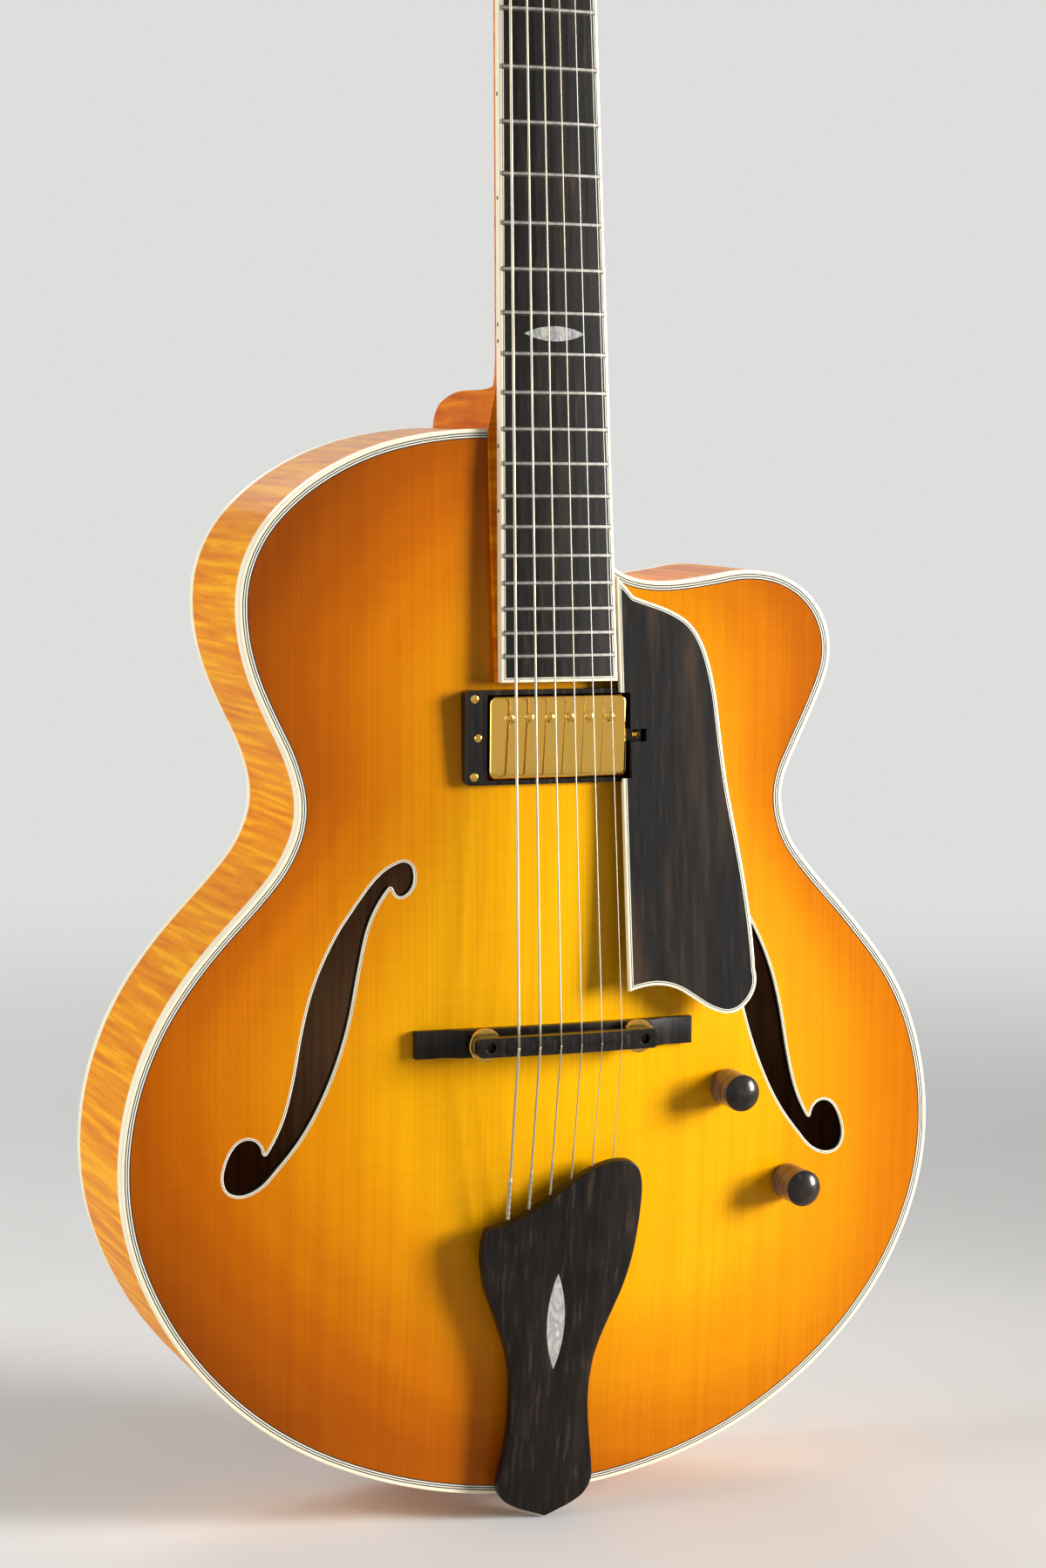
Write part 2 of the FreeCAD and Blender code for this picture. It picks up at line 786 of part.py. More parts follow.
def nut():
    half = board_nut_width / 2
    low = nut_place
    block = box(-half, half, -nut_rise, board_thickness, low, low + nut_length)
    block = place_neck(block.common(rod(2 * (camber_radius + nut_rise), V(0, camber_radius, low),
                                        V(0, camber_radius, low + nut_length))))
    return block.cut(Part.makeCompound([nut_slot(index) for index in range(len(string_diameters))]))


def nut_slot(index):
    """Slot that takes one string to its full depth."""
    middle = string_x(index, string_nut_spread)
    half = string_diameters[index] / 2 + string_gap
    bottom = nut_string_level(index) + half
    return place_neck(box(middle - half, middle + half, -nut_rise - overrun, bottom,
                          nut_place - overrun, nut_place + nut_length + overrun))


def truss_rod_cover():
    half = cover_width / 2
    plan = [point(half, cover_start), point(0, cover_start + cover_length), point(-half, cover_start)]
    return place_head(polygon_prism(plan, -cover_thickness, 0))


def tuner_housing(x, z):
    """Sealed gear case on the back of the headstock."""
    return box(x - housing_width / 2, x + housing_width / 2, head_thickness, head_thickness + housing_depth,
               z - housing_length / 2, z + housing_length / 2)


def tuner_housings():
    return place_head(Part.makeCompound([tuner_housing(x, z) for x, z in tuner_places]))


def tuner_post(x, z):
    return place_head(post_rod(x, z, 0, -post_rise, head_thickness - running_gap))


def tuner_button(x, z):
    """Flat eight-sided button on its shaft."""
    side = math.copysign(1, x)
    start = head_width / 2 + button_gap
    middle = z + worm_offset
    half = button_width / 2
    flat = half - button_corner
    end = button_length - button_corner
    places = [(button_corner, -half), (end, -half), (button_length, -flat), (button_length, flat),
              (end, half), (button_corner, half), (0, flat), (0, -flat)]
    corners = [point(side * (start + out), middle + up) for out, up in places]
    level = head_thickness + housing_depth / 2 - button_thickness / 2
    grip = polygon_prism(corners, level, level + button_thickness)
    depth = level + button_thickness / 2
    shaft = rod(button_shaft_diameter, V(x + side * (housing_width / 2 + glide), depth, middle),
                V(side * start, depth, middle))
    return place_head(fused([shaft, grip]))


def place_tail(shape):
    """From the frame of the tailpiece's face to the frame of the body."""
    shape.rotate(V(0, 0, 0), V(1, 0, 0), tailpiece_angle)
    shape.translate(V(0, front - tailpiece_rise, 0))
    return shape


def tail_point(x, y, z):
    turned = FreeCAD.Rotation(V(1, 0, 0), tailpiece_angle).multVec(V(x, y, z))
    return turned + V(0, front - tailpiece_rise, 0)


def tail_points(shares):
    return [point(across * tailpiece_width / 2, along * tailpiece_reach) for across, along in shares]


def tail_top(x):
    """Height of the slanted upper edge of the tailpiece at a distance from the centre line."""
    edge = spline(tail_points(tailpiece_shares[-6:]))
    line = Part.makeLine(point(x, 0), point(x, 2 * tailpiece_reach))
    return edge.toShape().distToShape(line)[1][0][0].z


def string_x(index, spread):
    return spread * (index / (len(string_diameters) - 1) - 1 / 2)


def camber_drop(x):
    return camber_radius - math.sqrt(camber_radius ** 2 - x ** 2)


def nut_string_level(index):
    """Middle of a string in its slot, in the frame of the board."""
    return camber_drop(string_x(index, string_nut_spread)) - nut_slot_rise - string_diameters[index] / 2


def saddle_place():
    """Crest of the saddle on the centre line, in the frame of the body."""
    return neck_point(0, -saddle_string_rise, nut_place - scale_length - compensation)


def bridge_place():
    return saddle_place().z


knob_places = ((volume_knob_offset, bridge_place() - volume_knob_drop),
               (tone_knob_offset, bridge_place() - tone_knob_drop))
tailpiece_reach = bridge_place() * tailpiece_reach_share


def string_points(index):
    """Post, nut, saddle and edge of the tailpiece, where the middle of a string passes."""
    radius = string_diameters[index] / 2
    lift = radius + string_gap
    at_nut = string_x(index, string_nut_spread)
    at_saddle = string_x(index, string_saddle_spread)
    post_x, post_z = tuner_places[index]
    inner_side = -math.copysign(1, post_x)
    beside = post_x + inner_side * (post_diameter / 2 + radius + glide)
    post = head_point(beside, -post_rise / 2, post_z)
    at_edge = tail_top(at_saddle) + string_diameters[index]
    bend = neck_point(at_nut, nut_string_level(index), nut_place + nut_length)
    saddle = saddle_place() + V(at_saddle, camber_drop(at_saddle) - lift, 0)
    return [post, bend, saddle, tail_point(at_saddle, tailpiece_thickness / 2, at_edge)]


def string_solid(index):
    """One string, swept along its straight runs."""
    places = string_points(index)
    start = Part.Circle(places[0], places[1] - places[0], string_diameters[index] / 2)
    path = Part.Wire(Part.makePolygon(places))
    return path.makePipeShell([Part.Wire([start.toShape()])], True, False, 1)


def wound_strings():
    return Part.makeCompound([string_solid(index) for index in range(wound_count)])


def plain_strings():
    return Part.makeCompound([string_solid(index) for index in range(wound_count, len(string_diameters))])


def tail_inlay_blank():
    oval = marquise(tail_inlay_length, tail_inlay_width, 0, inlay_depth)
    oval.rotate(V(0, 0, 0), V(0, 1, 0), 90)
    oval.translate(V(0, 0, tailpiece_reach * tail_inlay_share))
    return oval


def tailpiece():
    chain = [tail_points(tailpiece_shares), tail_points(tailpiece_bass_shares)]
    return place_tail(prism(chain, 0, tailpiece_thickness).cut(tail_inlay_blank()))


def tailpiece_inlay():
    return place_tail(tail_inlay_blank())


hinge_face = -hinge_seat_gap - hinge_thickness


def tailpiece_hinge():
    """Bent strip that runs from the end pin round the rim and up behind the tailpiece."""
    half = hinge_width / 2
    bend = tail_point(0, tailpiece_thickness + hinge_thickness / 2, hinge_face)
    tongue = place_tail(box(-half, half, tailpiece_thickness, tailpiece_thickness + hinge_thickness,
                            hinge_face, hinge_tongue))
    flange = box(-half, half, bend.y, hinge_back, hinge_face, -hinge_seat_gap)
    pin = rod(jack_barrel_diameter, V(0, 0, hinge_face - overrun), V(0, 0, overrun))
    return fused([tongue, flange]).cut(pin)


def jack_hole():
    return rod(jack_barrel_diameter, V(0, 0, -overrun), V(0, 0, block_length + overrun))


def end_pin_jack():
    """Hollow end pin that takes a plug."""
    mouth = hinge_face - jack_flange_thickness
    bottom = mouth + jack_bore_length
    barrel = rod(jack_barrel_diameter, V(0, 0, mouth), V(0, 0, bottom + jack_end_wall))
    flange = rod(jack_flange_diameter, V(0, 0, mouth), V(0, 0, hinge_face))
    bore = rod(jack_bore_diameter, V(0, 0, mouth - overrun), V(0, 0, bottom))
    return fused([barrel, flange]).cut(bore)


ring_face = front - ring_rise


def height_screw_rod(x, slack):
    diameter = height_screw_shank + 2 * slack
    return rod(diameter, V(x, ring_face - overrun, pickup_height), V(x, front + arch_crown, pickup_height))


def pickup_ring():
    """Flat frame whose back follows the carved top."""
    half_x = ring_length / 2
    half_z = ring_width / 2
    window_x = cover_case_length / 2 + ring_slack
    window_z = cover_case_width / 2 + ring_slack
    low = pickup_height - half_z
    blank = box(-half_x, half_x, ring_face, front, low, low + ring_width)
    corners = [edge for edge in blank.Edges if abs(edge.tangentAt(edge.FirstParameter).y) > 1 / 2]
    blank = blank.makeFillet(cover_corner, corners)
    window = box(-window_x, window_x, ring_face - overrun, front + overrun,
                 pickup_height - window_z, pickup_height + window_z)
    holes = [height_screw_rod(side * height_screw_spacing / 2, running_gap) for side in (-1, 1)]
    return blank.cut(Part.makeCompound([window] + holes)).cut(front_mass)


def height_screw(side):
    x = side * height_screw_spacing / 2
    seat = V(x, ring_face - glide, pickup_height)
    tail = V(x, ear_level + baseplate_thickness + height_screw_tail, pickup_height)
    return fused([rod(height_screw_head, seat - V(0, height_screw_head_rise, 0), seat),
                  rod(height_screw_shank, seat, tail)])


case_front = front - pickup_rise
ear_level = case_front + cover_case_depth


def pole_places():
    return [(pole_spread * (step / (pole_count - 1) - 1 / 2), pickup_height + pole_offset)
            for step in range(pole_count)]


def pickup_cover():
    """Thin metal case, open at the back."""
    half_x = cover_case_length / 2
    half_z = cover_case_width / 2
    wall = cover_case_wall
    outer = box(-half_x, half_x, case_front, ear_level, pickup_height - half_z, pickup_height + half_z)
    front_edges = [edge for edge in outer.Edges if edge.BoundBox.YMax < ear_level]
    corners = [edge for edge in outer.Edges if edge.BoundBox.YLength > cover_case_depth / 2]
    outer = outer.makeFillet(cover_corner / 2, front_edges + corners)
    inner = box(-half_x + wall, half_x - wall, case_front + wall, ear_level + overrun,
                pickup_height - half_z + wall, pickup_height + half_z - wall)
    return outer.cut(inner)


def pole_screws():
    """Heads of the adjustable poles, in a row on the case."""
    heads = [rod(pole_head_diameter, V(x, case_front - pole_head_rise, z), V(x, case_front, z))
             for x, z in pole_places()]
    return Part.makeCompound(heads)


def pickup_bobbins():
    """Two wound bobbins side by side behind the case."""
    half = cover_case_length / 2 - 2 * cover_case_wall
    low = case_front + cover_case_wall
    bobbins = []
    for side in (-1, 1):
        middle = pickup_height + side * pole_offset
        bobbins.append(box(-half, half, low, low + bobbin_depth, middle - bobbin_width / 2,
                           middle + bobbin_width / 2))
    return Part.makeCompound(bobbins)


def pickup_baseplate():
    """Plate behind the bobbins, with an ear at each end for a height screw."""
    half_x = cover_case_length / 2
    half_z = cover_case_width / 2
    plate = box(-half_x, half_x, ear_level, ear_level + baseplate_thickness,
                pickup_height - half_z, pickup_height + half_z)
    reach = height_screw_spacing / 2 + ear_length / 2
    ears = box(-reach, reach, ear_level, ear_level + baseplate_thickness,
               pickup_height - ear_width / 2, pickup_height + ear_width / 2)
    core_half = cover_case_length / 2 - 2 * cover_case_wall
    core = box(-core_half, core_half, case_front + cover_case_wall + bobbin_depth, ear_level,
               pickup_height - magnet_width / 2, pickup_height + magnet_width / 2)
    holes = [rod(height_screw_shank + 2 * running_gap, V(x, front - arch_crown, pickup_height),
                 V(x, back, pickup_height)) for x in (-height_screw_spacing / 2, height_screw_spacing / 2)]
    return fused([plate, ears, core]).cut(Part.makeCompound(holes))


def guard_left(run):
    """Left edge of the guard, which continues the line of the board's treble edge."""
    return board_width(-run) / 2 + guard_edge_gap


def guard_point(across, along):
    run = guard_top + (guard_bottom - guard_top) * along
    return point(guard_left(run) + guard_reach * across, -run)


def guard_chain():
    foot = [guard_point(across, along) for across, along in reversed(guard_foot_shares)]
    flank = [guard_point(across, along) for across, along in reversed(guard_shares)]
    top_corner = guard_point(0, 0)
    return [foot, flank, [flank[-1], top_corner], [top_corner, foot[0]]]


def guard_notch():
    """Room in the guard for the pickup cover and for a driver on the treble height screw."""
    right = cover_case_length / 2 + guard_notch_slack
    half_z = cover_case_width / 2 + guard_notch_slack
    low = front - board_rise - arch_crown - rim_depth
    case = box(0, right, low, front, pickup_height - half_z, pickup_height + half_z)
    slot_half = guard_screw_slot_width / 2
    slot = box(0, right + guard_screw_slot, low, front, pickup_height - slot_half, pickup_height + slot_half)
    return fused([case, slot])


def guard_prism(distance):
    return place_neck(prism(guard_chain(), guard_drop, guard_drop + guard_thickness, distance))


def pickguard():
    return guard_prism(guard_binding_width).cut(guard_notch())


def pickguard_binding():
    strip = guard_prism(0).cut(guard_prism(guard_binding_width)).cut(guard_notch())
    return Part.makeCompound(strip.Solids)


def pickguard_standoffs():
    """Posts between the carved top and the back of the guard."""
    posts = []
    for across, along in standoff_shares:
        place = guard_point(across, along)
        tall = place_neck(rod(standoff_diameter, place + V(0, guard_drop + guard_thickness, 0),
                              place + V(0, rim_depth, 0)))
        posts.append(min(tall.cut(front_mass).Solids, key=lambda piece: piece.CenterOfMass.y))
    return Part.makeCompound(posts)


def base_level(x):
    """Front of the bridge base at a distance from the centre line."""
    ends = front - arch(bridge_length / 2, bridge_place()) - bridge_end_thickness
    middle = front - arch(post_spacing / 2, bridge_place()) - bridge_mid_thickness
    return middle if x < bridge_mid_length / 2 else ends


def bridge_base():
    """Foot fitted to the carved top, thick under the wheels and slim at its ends."""
    half = bridge_length / 2
    mid_half = bridge_mid_length / 2
    low = bridge_place() - bridge_depth / 2
    inner = base_level(0)
    outer = base_level(half)
    shelf_end = mid_half + thumbwheel_diameter / 2
    profile = [V(-half, front, low), V(half, front, low), V(half, outer, low), V(shelf_end, outer, low),
               V(mid_half, inner, low), V(-mid_half, inner, low), V(-shelf_end, outer, low),
               V(-half, outer, low)]
    face = Part.Face(Part.makePolygon(profile + profile[:1]))
    return face.extrude(V(0, 0, bridge_depth)).cut(front_mass).cut(Part.makeCompound(post_rods(0)))


wheel_back = base_level(0) - thumbwheel_lift
wheel_front = wheel_back - thumbwheel_thickness
saddle_back = wheel_front - wheel_gap
saddle_crest = saddle_place().y
saddle_ear = saddle_crest + saddle_ear_drop


def post_rods(slack):
    """Threaded posts, let into the base and ending inside the ears of the saddle."""
    bottom = base_level(0) + bridge_mid_thickness / 2
    return [rod(bridge_post_diameter + 2 * slack, V(side * post_spacing / 2, bottom, bridge_place()),
                V(side * post_spacing / 2, saddle_ear + saddle_ear_drop, bridge_place())) for side in (-1, 1)]


def bridge_posts():
    return Part.makeCompound(post_rods(0))


def bridge_saddle():
    """Bar with round ears over the posts and a bevelled crest, cambered under the strings."""
    half = saddle_length / 2
    crest_half = saddle_crest_length / 2
    low = bridge_place() - saddle_depth / 2
    bar = box(-half, half, saddle_ear, saddle_back, low, low + saddle_depth)
    uprights = [edge for edge in bar.Edges if edge.BoundBox.YLength > (saddle_back - saddle_ear) / 2]
    bar = bar.makeFillet(saddle_round, uprights)
    middle = bridge_place()
    foot = (saddle_ear + saddle_back) / 2
    corners = [V(0, foot, low), V(0, saddle_crest + saddle_bevel, low), V(0, saddle_crest, middle),
               V(0, saddle_crest + saddle_bevel, low + saddle_depth), V(0, foot, low + saddle_depth)]
    axis = V(0, saddle_crest + camber_radius, 0)
    half_turn = math.degrees(math.asin(crest_half / camber_radius))
    profile = Part.Face(Part.makePolygon(corners + corners[:1]))
    profile.rotate(axis, V(0, 0, 1), -half_turn)
    ridge = profile.revolve(axis, V(0, 0, 1), 2 * half_turn)
    holes = [rod(bridge_post_diameter + 2 * glide, V(side * post_spacing / 2, saddle_back + overrun, middle),
                 V(side * post_spacing / 2, saddle_ear - overrun, middle)) for side in (-1, 1)]
    return fused([bar, ridge]).cut(Part.makeCompound(holes))


def thumbwheel(side):
    x = side * post_spacing / 2
    start = V(x, wheel_back, bridge_place())
    end = V(x, wheel_front, bridge_place())
    return rod(thumbwheel_diameter, start, end).cut(rod(bridge_post_diameter + 2 * running_gap, start, end))


def knob_level(x, z):
    """Highest place of the carved top under a knob."""
    reach = knob_diameter / 2
    return front - max(arch(x + dx, z + dz) for dx, dz in ((-reach, 0), (reach, 0), (0, -reach), (0, reach)))


def knob(x, z):
    """Turned knob with a slightly domed end, on the shaft that it turns."""
    base = knob_level(x, z) - knob_lift
    radius = knob_diameter / 2
    end = base - knob_height
    edge = end + knob_dome
    rim = radius - knob_edge
    dome_radius = (rim ** 2 + knob_dome ** 2) / (2 * knob_dome)
    half_drop = dome_radius - math.sqrt(dome_radius ** 2 - (rim / 2) ** 2)
    corners = [V(0, base, 0), V(radius, base, 0), V(radius, edge + knob_edge, 0), V(rim, edge, 0)]
    dome = Part.Arc(corners[-1], V(rim / 2, end + half_drop, 0), V(0, end, 0)).toShape()
    sides = Part.makePolygon(corners).Edges + [dome, Part.makeLine(V(0, end, 0), V(0, base, 0))]
    body = Part.Face(Part.Wire(sides)).revolve(V(0, 0, 0), V(0, 1, 0), 360)
    body.translate(V(x, 0, z))
    shaft = rod(shaft_diameter, V(x, knob_level(x, z) + plate_thickness, z), V(x, base - overrun, z))
    return fused([body, shaft])


def potentiometer(x, z):
    """Case under the top, with a bushing through the top for the shaft of the knob."""
    face = knob_level(x, z)
    inside = front - arch(x, z) + plate_thickness + arch_shoulder
    case = rod(pot_case_diameter, V(x, inside + pot_case_depth, z), V(x, inside, z))
    bushing = rod(pot_bushing_diameter, V(x, inside, z), V(x, face - knob_lift + glide, z))
    bore = rod(shaft_diameter + 2 * running_gap, V(x, face + plate_thickness + running_gap, z),
               V(x, face - rim_depth, z))
    return fused([case, bushing]).cut(bore)


def potentiometers():
    return Part.makeCompound([potentiometer(x, z) for x, z in knob_places])


nodes = {
    "top_plate": top_plate(),
    "back_plate": carved_plate(1),
    "bass_rib": rib(-1),
    "treble_rib": rib(1),
    "neck_block": neck_block(),
    "end_block": end_block(),
    "linings": linings(),
    "tone_bars": tone_bars(),
    "top_binding": edge_binding(-1),
    "back_binding": edge_binding(1),
    "f_hole_bindings": f_hole_bindings(),
    "neck": neck(),
    "truss_rod": truss_rod(),
    "fingerboard": fingerboard(),
    "fingerboard_binding": fingerboard_binding(),
    "frets": frets(),
    "fingerboard_inlay": fingerboard_inlay(),
    "nut": nut(),
    "headstock_veneer": headstock_veneer(),
    "truss_rod_cover": truss_rod_cover(),
    "tuner_housings": tuner_housings(),
    "wound_strings": wound_strings(),
    "plain_strings": plain_strings(),
    "tailpiece": tailpiece(),
    "tailpiece_inlay": tailpiece_inlay(),
    "tailpiece_hinge": tailpiece_hinge(),
    "end_pin_jack": end_pin_jack(),
    "pickup_ring": pickup_ring(),
    "pickup_cover": pickup_cover(),
    "pickup_bobbins": pickup_bobbins(),
    "pickup_baseplate": pickup_baseplate(),
    "pole_screws": pole_screws(),
    "height_screw_bass": height_screw(-1),
    "height_screw_treble": height_screw(1),
    "pickguard": pickguard(),
    "pickguard_binding": pickguard_binding(),
    "pickguard_standoffs": pickguard_standoffs(),
    "bridge_base": bridge_base(),
    "bridge_posts": bridge_posts(),
    "bridge_saddle": bridge_saddle(),
    "thumbwheel_bass": thumbwheel(-1),
    "thumbwheel_treble": thumbwheel(1),
    "volume_knob": knob(*knob_places[0]),
    "tone_knob": knob(*knob_places[1]),
    "potentiometers": potentiometers(),
}
for number, (x, z) in enumerate(tuner_places, start=1):
    nodes[f"tuner_post_{number}"] = tuner_post(x, z)
    nodes[f"tuner_button_{number}"] = tuner_button(x, z)

os.makedirs("parts", exist_ok=True)
for name, shape in nodes.items():
    shape.exportStep(f"parts/{name}.step")
print(len(nodes), "nodes written")
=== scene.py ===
# %% [markdown]
# # Dressing an archtop guitar
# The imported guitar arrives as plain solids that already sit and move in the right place.
# This lesson gives every surface its finish and adds the small pieces that a maker adds by hand:
# inlaid lines, screws, string windings and position dots.
# Loading comes first, and the box of the solids is kept, because no dressing may grow past it.

import json
import math
from itertools import accumulate

import bmesh
import bpy
from mathutils import Matrix, Vector
from mathutils.bvhtree import BVHTree
from mathutils.geometry import interpolate_bezier


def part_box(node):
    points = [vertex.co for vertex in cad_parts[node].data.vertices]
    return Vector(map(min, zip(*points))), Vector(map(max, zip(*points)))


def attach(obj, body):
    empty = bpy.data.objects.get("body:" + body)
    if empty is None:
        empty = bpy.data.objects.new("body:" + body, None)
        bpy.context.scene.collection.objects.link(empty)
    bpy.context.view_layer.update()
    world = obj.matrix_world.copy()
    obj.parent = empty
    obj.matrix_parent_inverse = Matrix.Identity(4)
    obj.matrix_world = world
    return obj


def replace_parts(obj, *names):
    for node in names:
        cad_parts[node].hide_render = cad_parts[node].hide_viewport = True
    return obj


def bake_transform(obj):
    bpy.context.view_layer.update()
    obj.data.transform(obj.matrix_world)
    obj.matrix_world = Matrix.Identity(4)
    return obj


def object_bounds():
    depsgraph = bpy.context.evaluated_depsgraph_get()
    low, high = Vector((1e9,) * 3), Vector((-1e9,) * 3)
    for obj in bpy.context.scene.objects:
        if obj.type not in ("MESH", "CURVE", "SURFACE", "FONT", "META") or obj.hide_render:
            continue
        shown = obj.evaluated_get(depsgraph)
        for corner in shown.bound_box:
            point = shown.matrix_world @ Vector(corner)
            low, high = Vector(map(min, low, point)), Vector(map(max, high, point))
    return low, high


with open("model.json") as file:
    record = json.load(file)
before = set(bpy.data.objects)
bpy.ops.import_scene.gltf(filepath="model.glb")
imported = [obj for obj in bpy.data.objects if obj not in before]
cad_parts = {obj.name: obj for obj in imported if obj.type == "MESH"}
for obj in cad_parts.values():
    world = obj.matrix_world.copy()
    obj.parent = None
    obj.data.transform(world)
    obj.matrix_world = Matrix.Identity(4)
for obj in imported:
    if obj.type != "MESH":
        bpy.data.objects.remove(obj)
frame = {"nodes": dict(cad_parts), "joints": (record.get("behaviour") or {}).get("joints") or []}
scene = bpy.context.scene
nodes = frame["nodes"]
joints = {joint["name"]: joint for joint in frame["joints"]}
solid_low, solid_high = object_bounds()
MM = 0.001
print(len(nodes), "solids, box in mm:", [round(x / MM) for x in solid_high - solid_low])

# %% [markdown]
# ## The camera
# The portrait is taken from the side of the bass strings, a little above the middle of the body and
# through a lens of modest length, so the lower bout looks large and the neck runs out of the picture.
# A camera can be aimed with a constraint, but three plain vectors say the same thing exactly:
# where the eye is, where it looks, and which way is up in the picture.

# %% Place the camera
eye = Vector((-0.5787, -1.4784, 0.5075))
look = Vector((0.3647, 0.9251, -0.1062)).normalized()
picture_up = Vector((0.0289, 0.1028, 0.9943))
picture_right = look.cross(picture_up).normalized()
picture_up = picture_right.cross(look)
camera = bpy.data.objects.new("camera", bpy.data.cameras.new("camera"))
camera.data.lens = 76.08
aim = Matrix((picture_right, picture_up, -look)).transposed().to_4x4()
camera.matrix_world = Matrix.Translation(eye) @ aim
scene.collection.objects.link(camera)
scene.camera = camera
scene.view_settings.view_transform = "Standard"
print("camera", round((eye - (solid_low + solid_high) / 2).length, 2), "m from the guitar's middle")

# %% [markdown]
# ## A short way to write materials
# A procedural finish is a small graph of nodes. Typing every node by hand hides the idea, so a
# recipe object keeps the graph and offers one short call for each step: a noise, a ramp, a mix.
# Positions are read in metres from the guitar's own frame, so grain has a true size.

# %% A recipe for a finish
def tone(red, green, blue):
    """A screen colour, from 0 to 255, as the linear light that shaders use."""
    def linear(level):
        level /= 255
        return level / 12.92 if level <= 0.04045 else ((level + 0.055) / 1.055) ** 2.4
    return (linear(red), linear(green), linear(blue), 1)


class Recipe:
    """The node graph of one finish."""

    def __init__(self, name, **constants):
        self.material = bpy.data.materials.new(name)
        self.material.use_nodes = True
        self.tree = self.material.node_tree
        self.shader = self.tree.nodes["Principled BSDF"]
        self.place = self.node("ShaderNodeTexCoord").outputs["Object"]
        for socket, value in constants.items():
            self.shader.inputs[socket.replace("_", " ")].default_value = value

    def node(self, kind, **inputs):
        made = self.tree.nodes.new(kind)
        for socket, value in inputs.items():
            self.feed(made.inputs[socket.replace("_", " ")], value)
        return made

    def feed(self, socket, value):
        if isinstance(value, bpy.types.NodeSocket):
            self.tree.links.new(value, socket)
        else:
            socket.default_value = value

    def colour(self, value):
        self.feed(self.shader.inputs["Base Color"], value)

    def math(self, operation, first, second=0.0, clamp=False):
        made = self.tree.nodes.new("ShaderNodeMath")
        made.operation = operation
        made.use_clamp = clamp
        self.feed(made.inputs[0], first)
        self.feed(made.inputs[1], second)
        return made.outputs[0]

    def long_side(self, first, second):
        """The long side of a right-angled triangle, from its two short sides."""
        squares = [self.math("MULTIPLY", side, side) for side in (first, second)]
        return self.math("SQRT", self.math("ADD", *squares))

    def axes(self):
        return tuple(self.node("ShaderNodeSeparateXYZ", Vector=self.place).outputs)

    def mirrored(self):
        """Folds positions at the centre line, as a plate that was opened like a book."""
        x, y, z = self.axes()
        self.place = self.node("ShaderNodeCombineXYZ", X=self.math("ABSOLUTE", x), Y=y, Z=z).outputs[0]

    def facing(self, axis):
        """How far the surface faces along an axis of the guitar, from -1 to 1."""
        normal = self.tree.nodes.new("ShaderNodeNewGeometry").outputs["Normal"]
        return self.node("ShaderNodeSeparateXYZ", Vector=normal).outputs["XYZ".index(axis)]

    def noise(self, scale, detail=3.0, roughness=0.55, distortion=0.0):
        """Noise stretched apart along each axis, which turns round blots into grain."""
        spread = self.node("ShaderNodeMapping", Vector=self.place, Scale=scale).outputs[0]
        made = self.node("ShaderNodeTexNoise", Vector=spread, Scale=1.0, Detail=detail,
                         Roughness=roughness, Distortion=distortion)
        return made.outputs["Fac"]

    def ramp(self, value, stops, between="EASE"):
        """Colours along a value: stops are pairs of a place from 0 to 1 and a colour."""
        made = self.node("ShaderNodeValToRGB", Fac=value)
        made.color_ramp.interpolation = between
        points = made.color_ramp.elements
        while len(points) < len(stops):
            points.new(1)
        for point, (spot, colour) in zip(points, stops):
            point.position = spot
            point.color = colour if hasattr(colour, "__len__") else (colour, colour, colour, 1)
        return made.outputs["Color"]

    def mix(self, share, first, second, blend="MIX"):
        made = self.tree.nodes.new("ShaderNodeMix")
        made.data_type = "RGBA"
        made.blend_type = blend
        # This node names its sockets alike for every data type: 6, 7 and 2 are the colours' own.
        self.feed(made.inputs[0], share)
        self.feed(made.inputs[6], first)
        self.feed(made.inputs[7], second)
        return made.outputs[2]

    def rough(self, value, low, high):
        """A roughness between two levels, which a value from 0 to 1 chooses."""
        chosen = self.node("ShaderNodeMapRange", Value=value, To_Min=low, To_Max=high)
        self.feed(self.shader.inputs["Roughness"], chosen.outputs[0])

    def bump(self, height, strength, depth):
        made = self.node("ShaderNodeBump", Height=height, Strength=strength, Distance=depth)
        self.feed(self.shader.inputs["Normal"], made.outputs[0])


finished = set()


def coat(recipe, *names):
    for name in names:
        mesh = nodes[name].data
        mesh.materials.clear()
        mesh.materials.append(recipe.material)
        finished.add(name)


print("recipes ready; a mid amber is", [round(x, 3) for x in tone(225, 165, 10)[:3]])

# %% [markdown]
# ## Floor and light
# A guitar's gloss is only as good as what it mirrors. A soft lamp on the right models the arch, and
# its narrow beam keeps it off the floor; one far to the left lights the rim and one behind lights the
# back; an even pale sky fills the rest.
# A sky could be an image, but one pale tone is calmer. Rays that light the wood get less of it than
# rays that see it or mirror it, so the picture stays bright while the lamps still shape the body.

# %% Paint the sky
sky_tone = (0.73, 0.73, 0.72, 1)
sky_as_light, sky_as_seen = 0.18, 1.0
world = bpy.data.worlds.new("studio")
scene.world = world
world.use_nodes = True
sky = world.node_tree
ray = sky.nodes.new("ShaderNodeLightPath")
seen = ray.outputs["Is Camera Ray"]
for other_way in ("Is Glossy Ray", "Is Transmission Ray"):
    either = sky.nodes.new("ShaderNodeMath")
    either.operation = "MAXIMUM"
    sky.links.new(seen, either.inputs[0])
    sky.links.new(ray.outputs[other_way], either.inputs[1])
    seen = either.outputs[0]
level = sky.nodes.new("ShaderNodeMapRange")
level.inputs["To Min"].default_value = sky_as_light
level.inputs["To Max"].default_value = sky_as_seen
sky.links.new(seen, level.inputs["Value"])
sky.links.new(level.outputs[0], sky.nodes["Background"].inputs["Strength"])
sky.nodes["Background"].inputs["Color"].default_value = sky_tone
print("sky of", sky_tone[:3])

